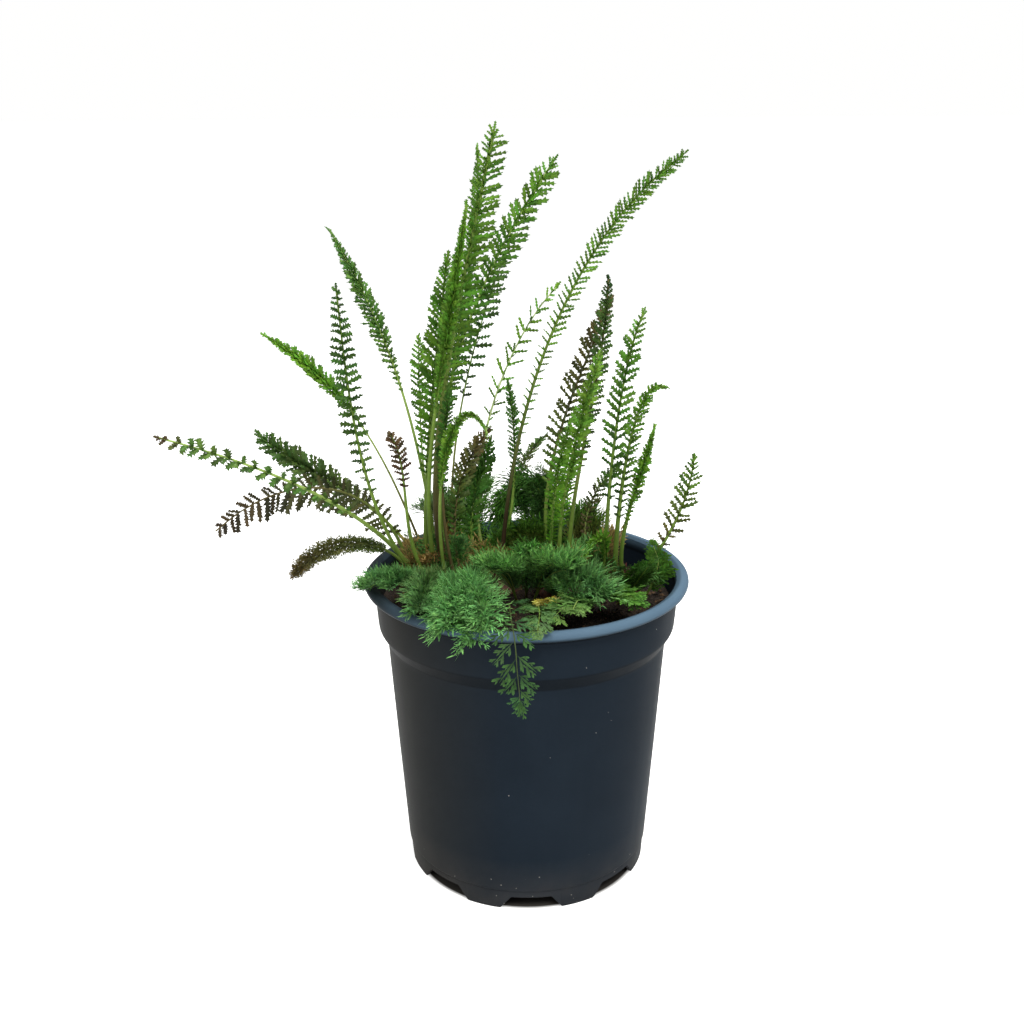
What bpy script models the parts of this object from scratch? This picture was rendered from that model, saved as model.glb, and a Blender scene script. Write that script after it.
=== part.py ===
"""Yarrow plant in a nursery pot.

A turned plastic pot with a rolled rim and eight drain notches, the compost
that fills it, four woody crowns and the leaves that rise from them.  Every
leaf is a body of its own: a round stalk that runs into a long, flat, notched
blade.  Origin: middle of the pot's base, on the ground.  Metres, +Z up.
"""
import math

import bmesh
import bpy
from mathutils import Vector

MM = 0.001

# ---------------------------------------------------------------- pot, mm
RIM_R = 82.5          # outside of the rolled rim
POT_H = 159.0         # top of the rim
BASE_R = 62.7         # outside of the foot ring
WALL = 1.5            # wall thickness
FLOOR_T = 1.5         # floor thickness
PAD_R = 38.0          # the middle of the floor stands on the ground
CHANNEL_Z = 5.0       # underside of the raised drain channel
COLLAR_Z0, COLLAR_Z1 = 131.8, 152.0
POT_STEPS = 64
NOTCHES = 8
NOTCH_W0, NOTCH_W1 = 31.0, 20.0     # width at the ground and at the top
NOTCH_H = 7.0
NOTCH_R0, NOTCH_R1 = 54.0, 70.0

# ------------------------------------------------------------ compost, mm
GAP = 0.4
SOIL_Z = 142.9        # mean level, 16 mm under the rim
SOIL_BUMP = 0.7

# --------------------------------- crowns, mm: x, y, half sizes, height
CROWN_Z = 144.1
CROWNS = {
    "crown_left": (-46, 12, 17, 14, 6),
    "crown_middle": (-15, 15, 13, 11, 6),
    "crown_centre_right": (17, 7, 11, 9, 5),
    "crown_right": (47, 10, 13, 10, 6),
}

# ------------------------------------------------------------ leaves, mm
# name: the rib (an arc for upright leaves, points along it for low ones),
#       half width of the blade,
#       share of the route that is bare stalk, stalk radius, turn of the
#       blade about its rib in degrees, colour, how it faces
#       ("out": the broad side to the front, "over": the broad side up)
GREEN = (0.075, 0.150, 0.045)
DEEP = (0.045, 0.100, 0.040)
BRIGHT = (0.130, 0.230, 0.060)
BROWN = (0.120, 0.085, 0.050)
YELLOW = (0.420, 0.340, 0.080)


def arc(foot, rise, reach, tip, steps=10):
    """Rib of an upright leaf: it leaves the foot towards `rise` and comes to
    its tip from `reach` (a cubic curve between the four)."""
    rib = []
    for k in range(steps + 1):
        f = k / steps
        share = ((1 - f) ** 3, 3 * f * (1 - f) ** 2, 3 * f * f * (1 - f), f ** 3)
        rib.append(tuple(sum(w * q[i] for w, q in zip(share, (foot, rise, reach, tip)))
                         for i in range(3)))
    return rib


LEAVES = {
    "leaf_far_left": (arc((-57, 9, 151), (-72, 6, 185), (-120, -8, 215), (-175, -22, 235)), 5.0, .30, 1.1, 20, GREEN, "out"),
    "leaf_left_feather": (arc((-54, 23, 149), (-72, 34, 186), (-116, 36, 198), (-139, 34, 221)), 5.5, .38, 1.1, -15, GREEN, "out"),
    "leaf_left_comb": (arc((-61, 21, 147.5), (-70, 16, 205), (-118, 8, 215), (-157, -2, 181)), 9.5, .30, 1.1, 10, BROWN, "out"),
    "leaf_left_inner_tall": (arc((-54, 6, 151), (-84, -4, 185), (-84, -22, 262), (-85, -34, 307)), 6.0, .36, 1.1, 12, DEEP, "out"),
    "leaf_left_low_brush": (arc((-60, 13, 150), (-70, 11, 178), (-108, 12, 172), (-121, 14, 152)), 4.5, .30, 1.1, 30, BROWN, "out"),
    "leaf_left_thin": (arc((-50, 29, 145), (-68, 36, 190), (-82, 38, 242), (-135, 44, 272)), 4.5, .52, 1.1, -25, GREEN, "out"),
    "leaf_upper_left": (arc((-46, 20, 151), (-54, 32, 210), (-64, 46, 262), (-101, 62, 323)), 5.0, .48, 1.1, 35, GREEN, "out"),
    "leaf_pale_small": (arc((-44, 33, 145), (-58, 44, 180), (-57, 56, 235), (-58, 74, 265)), 5.5, .55, 1.0, -20, GREEN, "out"),
    "leaf_dark_tip_short": (arc((-49, 3, 151), (-66, -3, 175), (-55, -10, 215), (-65, -17, 235)), 3.0, .60, 1.2, 10, BROWN, "out"),
    "leaf_broad_feather": (arc((-52, 14, 151), (-53, 11, 205), (-45, 10, 260), (-38, 12, 313)), 6.5, .40, 1.3, -18, DEEP, "out"),
    "leaf_tallest": (arc((-41, 10, 153), (-56, 4, 210), (-30, -7, 300), (-14, -14, 374)), 7.0, .42, 1.9, 14, GREEN, "out"),
    "leaf_tall_slim": (arc((-44, 14, 151), (-52, 17, 225), (-20, 24, 310), (-23, 28, 365)), 3.6, .55, 1.2, -30, GREEN, "out"),
    "leaf_tall_spindle": (arc((-46, 7, 151), (-57, 0, 210), (-36, -18, 275), (-26, -30, 343)), 4.0, .50, 1.2, 28, BRIGHT, "out"),
    "leaf_right_curve": (arc((-39, 14, 151), (-60, 24, 240), (-18, 36, 312), (14, 48, 358)), 7.0, .42, 1.3, -12, GREEN, "out"),
    "leaf_thin_brown": (arc((-36, 20, 150), (-46, 34, 195), (-32, 52, 260), (-11, 70, 309)), 6.0, .55, 1.0, 18, BROWN, "out"),
    "leaf_dark_inner": (arc((-36, 3, 150), (-45, -3, 190), (-41, -9, 220), (-37, -12, 255)), 3.6, .50, 1.1, -10, DEEP, "out"),
    "leaf_bright_arch": (arc((-41, 1, 150), (-50, -6, 215), (-30, -26, 268), (-18, -31, 239)), 3.2, .42, 1.1, 25, BRIGHT, "out"),
    "leaf_dark_arch": (arc((-32, 5, 148), (-42, 11, 178), (-36, 18, 208), (-20, 26, 225)), 4.8, .30, 1.1, -22, BROWN, "out"),
    "leaf_fan_dark": (arc((-24, 16, 151), (-34, 22, 176), (-26, 31, 196), (-19, 38, 215)), 6.2, .34, 1.1, 15, DEEP, "out"),
    "leaf_pale_long": (arc((-20, 22, 150), (-37, 36, 195), (-14, 58, 262), (16, 68, 293)), 8.0, .44, 1.1, -15, GREEN, "out"),
    "leaf_tall_right": (arc((-13, 11, 151), (-10, 4, 225), (12, -12, 320), (69, -30, 364)), 5.5, .36, 1.8, 20, GREEN, "out"),
    "leaf_mid_dark": (arc((-15, 16, 152), (-6, 17, 180), (-3, 24, 215), (-9, 38, 247)), 4.0, .50, 1.1, -25, DEEP, "out"),
    "leaf_mid_brown": (arc((-9, 22, 149), (-14, 34, 178), (-4, 54, 204), (11, 78, 209)), 4.0, .40, 1.0, 20, BROWN, "out"),
    "leaf_top_brown": (arc((14, 13, 149), (0, 18, 200), (26, 25, 250), (43, 30, 292)), 7.0, .34, 1.2, -15, BROWN, "out"),
    "leaf_tall_brown": (arc((22, 8, 150), (20, 5, 200), (38, 0, 255), (39, -6, 307)), 5.4, .42, 1.1, 15, BROWN, "out"),
    "leaf_bright_dense": (arc((17, 4, 150), (15, -4, 195), (24, -16, 235), (34, -30, 277)), 6.2, .32, 1.2, -12, BRIGHT, "out"),
    "leaf_bright_low": (arc((13, 0, 148.5), (11, -12, 185), (14, -34, 225), (20, -46, 247)), 5.2, .34, 1.1, 20, BRIGHT, "out"),
    "leaf_right_tall": (arc((41, 15, 150), (42, 18, 200), (47, 26, 255), (59, 30, 285)), 6.8, .36, 1.2, 15, GREEN, "out"),
    "leaf_right_hook": (arc((46, 10, 152), (46, 4, 205), (54, -2, 262), (67, -4, 255)), 5.0, .44, 1.1, -18, BRIGHT, "out"),
    "leaf_right_spindle": (arc((50, 3, 150), (44, -4, 178), (55, -16, 208), (60, -30, 241)), 4.0, .36, 1.1, 25, BRIGHT, "out"),
    "leaf_right_side_twig": (arc((38, 21, 146), (26, 30, 162), (30, 42, 186), (51, 60, 197)), 4.0, .35, 1.0, -20, BROWN, "out"),
    "leaf_far_right": (arc((61, 19, 145), (70, 20, 165), (84, 22, 180), (87, 26, 210)), 5.8, .34, 1.2, 10, GREEN, "out"),
    # low leaves round the crowns and over the rim
    "leaf_rim_centre": ([(-25, -8, 145), (-28, -28, 161), (-25, -52, 168), (-20, -77, 169), (-17, -92, 162), (-15, -98, 155)], 6.0, .12, 1.0, 0, GREEN, "over"),
    "leaf_rim_mid": ([(-30, -7, 145), (-37, -26, 158), (-37, -50, 164), (-35, -75, 166), (-34, -90, 160), (-34, -95, 155)], 4.2, .12, 1.0, 0, GREEN, "over"),
    "leaf_rim_left": ([(-35, -6, 145), (-43, -16, 158), (-48, -34, 163), (-49, -56, 166), (-50, -72, 163)], 4.2, .12, 1.0, 0, GREEN, "over"),
    "leaf_rim_far_left": ([(-46, -7, 145), (-54, -12, 156), (-62, -21, 161), (-70, -32, 165), (-76, -40, 165)], 4.2, .12, 1.0, 0, GREEN, "over"),
    "leaf_hanging": ([(-8, -30, 145), (-8, -55, 163), (-7, -78, 166), (-5, -91, 159), (-4, -95, 146), (-3, -94, 134), (-3, -91, 124)], 4.6, .30, 1.0, 0, GREEN, "over"),
    "leaf_rim_small": ([(3, -36, 145), (5, -52, 160), (6, -70, 165), (5, -87, 162)], 3.6, .15, 1.0, 0, BRIGHT, "over"),
    "leaf_mid_fan_up": ([(0, 1, 145), (1, -3, 157), (2, -9, 168), (3, -14, 177)], 6.0, .18, 1.0, 0, BRIGHT, "out"),
    "leaf_mid_fan_right": ([(4, -6, 145), (9, -14, 158), (14, -25, 167), (19, -35, 172)], 4.4, .18, 1.0, 0, BRIGHT, "over"),
    "leaf_mid_fan_left": ([(-5, -6, 145), (-9, -13, 158), (-13, -22, 166), (-17, -32, 171)], 4.4, .18, 1.0, 0, BRIGHT, "over"),
    "leaf_brown_fan": ([(1, 19, 145), (-1, 20, 157), (-3, 20, 173)], 4.5, .18, 1.0, 0, BROWN, "out"),
    "leaf_yellow": ([(7, -25, 145), (8, -33, 153), (11, -44, 160)], 2.5, .25, 0.8, 0, YELLOW, "over"),
    "leaf_dome": ([(15, -9, 145), (20, -20, 158), (28, -33, 165), (36, -46, 163)], 4.8, .15, 1.0, 0, GREEN, "over"),
    "leaf_front_lobed": ([(27, -22, 145), (24, -36, 155), (18, -52, 160), (12, -66, 160)], 4.8, .15, 1.0, 0, BRIGHT, "over"),
    "leaf_front_right": ([(31, -12, 145), (40, -26, 157), (46, -37, 161), (52, -47, 162)], 3.8, .15, 1.0, 0, GREEN, "over"),
    "leaf_arch_back": ([(3, 31, 145), (8, 31, 156), (9, 31, 186), (2, 31, 198), (-5, 32, 196), (-11, 33, 187)], 4.6, .30, 1.0, 0, DEEP, "out"),
    "leaf_arch_small": ([(39, 8, 150.5), (40, 0, 168), (38, -6, 178), (33, -9, 176), (29, -10, 169)], 2.8, .30, 1.0, 0, GREEN, "out"),
    "leaf_right_inner": ([(62, 1, 145), (65, -1, 154), (67, -3, 164), (64, -5, 174)], 3.8, .22, 1.0, 0, BRIGHT, "out"),
    "leaf_right_low": ([(48, -8, 145), (52, -13, 152), (56, -20, 162), (60, -26, 171)], 3.8, .20, 1.0, 0, GREEN, "over"),
    "leaf_back_left": ([(-30, 36, 145), (-30, 50, 164), (-33, 68, 178), (-35, 84, 176)], 5.0, .20, 1.0, 0, GREEN, "over"),
    "leaf_back_far_left": ([(-40, 44, 145), (-43, 53, 162), (-49, 63, 171), (-52, 71, 170)], 4.6, .20, 1.0, 0, GREEN, "over"),
    "leaf_back_right": ([(28, 34, 145), (34, 47, 158), (34, 60, 168)], 3.8, .20, 1.0, 0, BROWN, "over"),
    "leaf_back_centre": ([(8, 44, 145), (9, 58, 164), (8, 74, 176), (5, 90, 172)], 4.6, .20, 1.0, 0, GREEN, "over"),
}
BLADE_T = 0.7         # half thickness of a blade at its rib
NOTCH_DEPTH = 0.42    # how deep the blade's edge is notched


def material(name, colour, rough, metallic=0.0):
    mat = bpy.data.materials.new(name)
    mat.use_nodes = True
    bsdf = mat.node_tree.nodes["Principled BSDF"]
    bsdf.inputs["Base Color"].default_value = (*colour, 1.0)
    bsdf.inputs["Roughness"].default_value = rough
    bsdf.inputs["Metallic"].default_value = metallic
    mat.diffuse_color = (*colour, 1.0)
    return mat


def add(name, mesh, coll, mat=None):
    obj = bpy.data.objects.new(name, mesh)
    coll.objects.link(obj)
    if mat is not None:
        mesh.materials.append(mat)
    return obj


def turned(name, profile, coll, mat, steps):
    """Profile (r, z) in mm, turned about Z with a Screw modifier."""
    mesh = bpy.data.meshes.new(name)
    pts = [(r * MM, 0.0, z * MM) for r, z in profile]
    mesh.from_pydata(pts, [(i, i + 1) for i in range(len(pts) - 1)], [])
    obj = add(name, mesh, coll, mat)
    mod = obj.modifiers.new("turn", "SCREW")
    mod.angle = 2 * math.pi
    mod.steps = steps
    mod.render_steps = steps
    mod.use_merge_vertices = True
    mod.merge_threshold = 0.00005
    mod.use_smooth_shade = True
    return obj


def freeze(obj):
    """Turn an object with modifiers into a plain mesh."""
    dg = bpy.context.evaluated_depsgraph_get()
    mesh = bpy.data.meshes.new_from_object(obj.evaluated_get(dg))
    obj.modifiers.clear()
    old = obj.data
    obj.data = mesh
    bpy.data.meshes.remove(old)
    return obj


# ------------------------------------------------------------------- pot
def outer_wall():
    """Outside of the pot, from the rim down to the ground."""
    return [
        (RIM_R - 3.0, POT_H), (RIM_R - 1.1, POT_H - 0.5), (RIM_R, POT_H - 2.5),
        (RIM_R - 0.6, POT_H - 4.3), (RIM_R - 3.0, POT_H - 4.9),
        (77.3, POT_H - 5.6), (77.1, COLLAR_Z1 - 3), (76.2, 137.0),
        (75.8, COLLAR_Z0 + 1.2), (71.8, 126.2), (71.5, 124.0),
        (67.8, 68.0), (63.9, 11.4), (63.1, 10.6), (BASE_R, 0.0),
    ]


def inner_wall():
    """Inside of the pot, from the floor up to the rim."""
    return [
        (61.0, 8.0), (61.6, 12.0), (66.3, 68.0), (69.9, 123.8),
        (70.2, 126.8), (74.3, 133.4), (74.7, 137.2), (75.6, 150.0),
        (75.8, POT_H - 4.0), (76.4, POT_H - 1.2), (77.6, POT_H - 0.2),
    ]


def make_pot(coll, cutters):
    foot = 60.9
    profile = [(0.0, FLOOR_T), (PAD_R - 2.4, FLOOR_T),
               (PAD_R - 0.6, CHANNEL_Z + FLOOR_T), (60.8, CHANNEL_Z + FLOOR_T)]
    profile += inner_wall() + outer_wall()
    profile += [(foot, 0.0), (foot - 0.4, CHANNEL_Z), (PAD_R + 1.2, CHANNEL_Z),
                (PAD_R, 0.0), (0.0, 0.0)]
    pot = turned("nursery_pot", profile, coll,
                 material("pot_plastic", (0.052, 0.062, 0.074), 0.55), POT_STEPS)
    for k in range(NOTCHES):
        bm = bmesh.new()
        bmesh.ops.create_cube(bm, size=1.0)
        for v in bm.verts:
            top = v.co.z > 0
            half = (NOTCH_W1 if top else NOTCH_W0) / 2
            v.co.x = math.copysign(half, v.co.x) * MM
            v.co.y = (NOTCH_R1 if v.co.y > 0 else NOTCH_R0) * MM
            v.co.z = (NOTCH_H if top else -1.0) * MM
        mesh = bpy.data.meshes.new("notch")
        bm.to_mesh(mesh)
        bm.free()
        cut = add(f"notch_cutter_{k}", mesh, cutters)
        cut.rotation_euler.z = math.radians(180 + 2 + k * 360 / NOTCHES)
        cut.hide_render = True
        cut.display_type = "WIRE"
        mod = pot.modifiers.new(f"notch_{k}", "BOOLEAN")
        mod.operation = "DIFFERENCE"
        mod.solver = "EXACT"
        mod.object = cut
    return pot


# --------------------------------------------------------------- compost
def bump(x, y):
    return (math.sin(x * 0.31 + 1.3) * math.cos(y * 0.27 - 0.4)
            + 0.6 * math.sin(x * 0.53 + y * 0.41)) * SOIL_BUMP / 1.6


def make_compost(coll):
    side = [(r - GAP, z) for r, z in inner_wall() if z < SOIL_Z - 1.0]
    edge = side[-1][0] + 0.3
    profile = [(r, SOIL_Z) for r in (0, 12, 24, 36, 48, 60, 69)]
    profile += [(edge, SOIL_Z - 0.6)] + side[::-1]
    low = CHANNEL_Z + FLOOR_T + GAP
    profile += [(60.0, low), (PAD_R - 0.6 - GAP, low),
                (PAD_R - 2.4 - GAP, FLOOR_T + GAP), (0.0, FLOOR_T + GAP)]
    soil = freeze(turned("compost", profile, coll,
                         material("compost", (0.030, 0.021, 0.015), 0.95), 36))
    for v in soil.data.vertices:
        if v.co.z > (SOIL_Z - 0.1) * MM:
            v.co.z += bump(v.co.x / MM, v.co.y / MM) * MM
    return soil


def make_crown(name, spec, coll, mat):
    cx, cy, rx, ry, h = spec
    rings = 6
    profile = [(0.0, h)]
    for i in range(1, rings + 1):
        a = math.pi / 2 * i / rings
        profile.append((rx * math.sin(a), h * math.cos(a)))
    profile[-1] = (rx, 0.4)
    profile += [(rx - 0.6, 0.0), (0.0, 0.0)]
    obj = turned(name, profile, coll, mat, 24)
    obj.location = (cx * MM, cy * MM, CROWN_Z * MM)
    obj.scale = (1.0, ry / rx, 1.0)
    return obj


# ---------------------------------------------------------------- leaves
def spline(route, count):
    """Smooth curve through the route's points (centripetal Catmull-Rom)."""
    p = [Vector(q) for q in route]
    p = [p[0] * 2 - p[1]] + p + [p[-1] * 2 - p[-2]]
    t = [0.0]
    for a, b in zip(p, p[1:]):
        t.append(t[-1] + (b - a).length ** 0.5)
    fine = []
    steps = 12
    for i in range(1, len(p) - 2):
        for k in range(steps + (i == len(p) - 3)):
            x = t[i] + (t[i + 1] - t[i]) * k / steps
            a1 = p[i - 1].lerp(p[i], (x - t[i - 1]) / (t[i] - t[i - 1]))
            a2 = p[i].lerp(p[i + 1], (x - t[i]) / (t[i + 1] - t[i]))
            a3 = p[i + 1].lerp(p[i + 2], (x - t[i + 1]) / (t[i + 2] - t[i + 1]))
            b1 = a1.lerp(a2, (x - t[i - 1]) / (t[i + 1] - t[i - 1]))
            b2 = a2.lerp(a3, (x - t[i]) / (t[i + 2] - t[i]))
            fine.append(b1.lerp(b2, (x - t[i]) / (t[i + 1] - t[i])))
    run = [0.0]
    for a, b in zip(fine, fine[1:]):
        run.append(run[-1] + (b - a).length)
    out, j = [], 0
    for k in range(count):
        d = run[-1] * k / (count - 1)
        while j < len(fine) - 2 and run[j + 1] < d:
            j += 1
        f = (d - run[j]) / max(run[j + 1] - run[j], 1e-9)
        out.append(fine[j].lerp(fine[j + 1], min(max(f, 0), 1)))
    return out, run[-1]


def frames(pts, facing):
    """Tangent and width direction at each point, carried without twist."""
    tans = []
    for i in range(len(pts)):
        a, b = pts[max(i - 1, 0)], pts[min(i + 1, len(pts) - 1)]
        tans.append((b - a).normalized())
    if facing == "out":
        normal = Vector((0.0, -0.95, 0.31))
    else:
        head = pts[-1] - pts[0]
        normal = Vector((head.x, head.y, 0.0)).normalized()
    wide = [tans[0].cross(normal).normalized()]
    for a, b in zip(tans, tans[1:]):
        wide.append(a.rotation_difference(b) @ wide[-1])
    return tans, wide


def blade_width(b):
    """Share of the full half width along the blade, 0 at foot and tip."""
    b = min(max(b, 0.0), 1.0)
    return math.sin(math.pi * b ** 0.62) ** 0.55 if 0 < b < 1 else 0.0


def make_leaf(name, spec, coll):
    route, half, bare, stalk, turn, colour, facing = spec
    _, length = spline(route, 12)
    teeth = max(4, min(9, round(length * (1 - bare) / 11)))
    bare_rings = max(2, min(6, round(length * bare / 16)))
    stations = [bare * k / bare_rings for k in range(bare_rings)]
    stations += [bare + (1 - bare) * k / (2 * teeth) for k in range(2 * teeth + 1)]
    pts, _ = spline(route, 121)
    tans, wide = frames(pts, facing)
    bm = bmesh.new()
    rings = []
    for s in stations:
        f = s * 120
        i = min(int(f), 119)
        c = pts[i].lerp(pts[i + 1], f - i)
        t, w = tans[i], wide[i]
        r = stalk * (1.15 - 0.45 * s)
        b = (s - bare) / (1 - bare)
        k = round(b * 2 * teeth)
        if b <= 0:
            across, thick, turned_by = r * 1.2, r * 1.2, 0.0
        else:
            tooth = 1.0 if k % 2 else 1.0 - NOTCH_DEPTH
            across = max(half * blade_width(b) * tooth, 0.8)
            thick = max(BLADE_T, r * (1 - b))
            turned_by = math.radians(turn) * min(1.0, b * 3)
        n = w.cross(t)
        w2 = w * math.cos(turned_by) + n * math.sin(turned_by)
        n2 = n * math.cos(turned_by) - w * math.sin(turned_by)
        if s >= 1.0:
            across, thick = 0.5, 0.4
        ring = [bm.verts.new((c + d) * MM) for d in
                (w2 * across, n2 * thick, w2 * -across, n2 * -thick)]
        rings.append(ring)
    for a, b in zip(rings, rings[1:]):
        for k in range(4):
            m = (k + 1) % 4
            bm.faces.new((a[k], a[m], b[m], b[k]))
    bm.faces.new(rings[0][::-1])
    bm.faces.new(rings[-1])
    bmesh.ops.triangulate(bm, faces=bm.faces[:])
    bmesh.ops.recalc_face_normals(bm, faces=bm.faces[:])
    for f in bm.faces:
        f.smooth = True
    mesh = bpy.data.meshes.new(name)
    bm.to_mesh(mesh)
    bm.free()
    mesh.set_sharp_from_angle(angle=math.radians(50))
    return add(name, mesh, coll, material(name, colour, 0.6))


def main():
    for obj in list(bpy.data.objects):
        bpy.data.objects.remove(obj, do_unlink=True)
    scene = bpy.context.scene
    coll = bpy.data.collections.new("yarrow_plant")
    cutters = bpy.data.collections.new("cutters")
    scene.collection.children.link(coll)
    scene.collection.children.link(cutters)
    make_pot(coll, cutters)
    make_compost(coll)
    bark = material("crown", (0.110, 0.045, 0.030), 0.8)
    for name, spec in CROWNS.items():
        make_crown(name, spec, coll, bark)
    for name, spec in LEAVES.items():
        make_leaf(name, spec, coll)


main()
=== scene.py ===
"""Looks of the yarrow plant in its nursery pot: feathery leaves, crowns,
compost and pot, with a plain floor, soft light and the camera."""
import math

import bpy
import numpy as np
from mathutils import Matrix, Vector


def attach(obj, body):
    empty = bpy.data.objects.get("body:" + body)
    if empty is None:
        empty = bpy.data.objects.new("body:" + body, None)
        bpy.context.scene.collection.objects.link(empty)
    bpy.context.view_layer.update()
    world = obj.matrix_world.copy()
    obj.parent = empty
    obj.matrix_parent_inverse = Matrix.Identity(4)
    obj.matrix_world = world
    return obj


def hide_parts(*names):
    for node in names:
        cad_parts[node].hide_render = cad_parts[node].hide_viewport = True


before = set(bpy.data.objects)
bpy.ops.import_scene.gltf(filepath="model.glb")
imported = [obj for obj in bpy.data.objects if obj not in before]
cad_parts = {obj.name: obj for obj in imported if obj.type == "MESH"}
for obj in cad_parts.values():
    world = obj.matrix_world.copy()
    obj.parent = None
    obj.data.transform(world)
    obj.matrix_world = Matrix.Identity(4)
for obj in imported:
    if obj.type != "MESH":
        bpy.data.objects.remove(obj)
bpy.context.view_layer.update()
MM = 0.001
RNG = np.random.default_rng(41)


# ================================================================ helpers
def unit(v):
    n = np.linalg.norm(v, axis=-1, keepdims=True)
    return v / np.maximum(n, 1e-9)


class Mesh:
    """Collects triangles and quads with a colour at each vertex."""

    def __init__(self):
        self.v, self.c, self.f3, self.f4, self.n = [], [], [], [], 0

    def add(self, verts, cols, tris=None, quads=None):
        verts = np.asarray(verts, float).reshape(-1, 3)
        cols = np.broadcast_to(np.asarray(cols, float), verts.shape)
        self.v.append(verts)
        self.c.append(cols)
        if tris is not None and len(tris):
            self.f3.append(np.asarray(tris, int) + self.n)
        if quads is not None and len(quads):
            self.f4.append(np.asarray(quads, int) + self.n)
        self.n += len(verts)

    def build(self, name, mat, smooth=True):
        v = np.vstack(self.v) * MM
        c = np.vstack(self.c)
        f3 = np.vstack(self.f3) if self.f3 else np.zeros((0, 3), int)
        f4 = np.vstack(self.f4) if self.f4 else np.zeros((0, 4), int)
        mesh = bpy.data.meshes.new(name)
        mesh.vertices.add(len(v))
        mesh.vertices.foreach_set("co", v.astype(np.float32).ravel())
        loops = np.concatenate([f3.ravel(), f4.ravel()])
        mesh.loops.add(len(loops))
        mesh.loops.foreach_set("vertex_index", loops.astype(np.int32))
        sizes = np.concatenate([np.full(len(f3), 3), np.full(len(f4), 4)])
        starts = np.concatenate([[0], np.cumsum(sizes)[:-1]])
        mesh.polygons.add(len(sizes))
        mesh.polygons.foreach_set("loop_start", starts.astype(np.int32))
        mesh.polygons.foreach_set("use_smooth", np.full(len(sizes), smooth))
        mesh.update(calc_edges=True)
        mesh.validate()
        att = mesh.color_attributes.new("tint", "FLOAT_COLOR", "POINT")
        rgba = np.ones((len(v), 4), np.float32)
        rgba[:, :3] = np.clip(c, 0, 1)
        att.data.foreach_set("color", rgba.ravel())
        mesh.materials.append(mat)
        obj = bpy.data.objects.new(name, mesh)
        bpy.context.scene.collection.objects.link(obj)
        return obj


class Nodes:
    """Short way to write a node tree."""

    def __init__(self, name):
        self.mat = bpy.data.materials.new(name)
        self.mat.use_nodes = True
        self.t = self.mat.node_tree
        self.bsdf = self.t.nodes["Principled BSDF"]

    def new(self, kind, **values):
        n = self.t.nodes.new(kind)
        for k, val in values.items():
            if k in n.inputs.keys():
                n.inputs[k].default_value = val
            else:
                setattr(n, k, val)
        return n

    def link(self, a, b):
        self.t.links.new(a, b)

    def coords(self):
        return self.new("ShaderNodeTexCoord").outputs["Object"]

    def noise(self, vec, scale, detail=3.0, rough=0.55):
        n = self.new("ShaderNodeTexNoise")
        n.inputs["Scale"].default_value = scale
        n.inputs["Detail"].default_value = detail
        n.inputs["Roughness"].default_value = rough
        self.link(vec, n.inputs["Vector"])
        return n.outputs["Fac"]

    def ramp(self, fac, stops, mode="LINEAR"):
        n = self.new("ShaderNodeValToRGB")
        n.color_ramp.interpolation = mode
        els = n.color_ramp.elements
        while len(els) < len(stops):
            els.new(0.5)
        for e, (p, col) in zip(els, stops):
            e.position = p
            e.color = (*col, 1.0) if len(col) == 3 else col
        self.link(fac, n.inputs["Fac"])
        return n.outputs["Color"]

    def mix(self, fac, a, b, mode="MIX"):
        n = self.new("ShaderNodeMix")
        n.data_type = "RGBA"
        n.blend_type = mode
        n.clamp_result = True
        for i, val in ((0, fac), (6, a), (7, b)):
            if isinstance(val, bpy.types.NodeSocket):
                self.link(val, n.inputs[i])
            else:
                n.inputs[i].default_value = val if i == 0 else (*val, 1.0)
        return n.outputs[2]

    def math(self, op, a, b=0.0, clamp=False):
        n = self.new("ShaderNodeMath")
        n.operation = op
        n.use_clamp = clamp
        for i, val in enumerate((a, b)):
            if isinstance(val, bpy.types.NodeSocket):
                self.link(val, n.inputs[i])
            else:
                n.inputs[i].default_value = val
        return n.outputs[0]

    def bump(self, height, strength, distance):
        n = self.new("ShaderNodeBump")
        n.inputs["Strength"].default_value = strength
        n.inputs["Distance"].default_value = distance
        self.link(height, n.inputs["Height"])
        self.link(n.outputs["Normal"], self.bsdf.inputs["Normal"])


# ============================================================== materials
def leaf_material():
    m = Nodes("yarrow_leaf")
    co = m.coords()
    tint = m.new("ShaderNodeAttribute")
    tint.attribute_name = "tint"
    fine = m.noise(co, 900, 2.0)
    broad = m.noise(co, 70, 3.0)
    shade = m.math("ADD", m.math("MULTIPLY", fine, 0.55),
                   m.math("MULTIPLY", broad, 0.75))
    shade = m.math("ADD", shade, 0.36)
    col = m.new("ShaderNodeVectorMath")
    col.operation = "SCALE"
    m.link(tint.outputs["Color"], col.inputs[0])
    m.link(shade, col.inputs["Scale"])
    m.link(col.outputs["Vector"], m.bsdf.inputs["Base Color"])
    rough = m.math("ADD", m.math("MULTIPLY", fine, 0.22), 0.40)
    m.link(rough, m.bsdf.inputs["Roughness"])
    m.bsdf.inputs["Specular IOR Level"].default_value = 0.14
    m.bump(fine, 0.35, 0.0003)
    return m.mat


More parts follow.
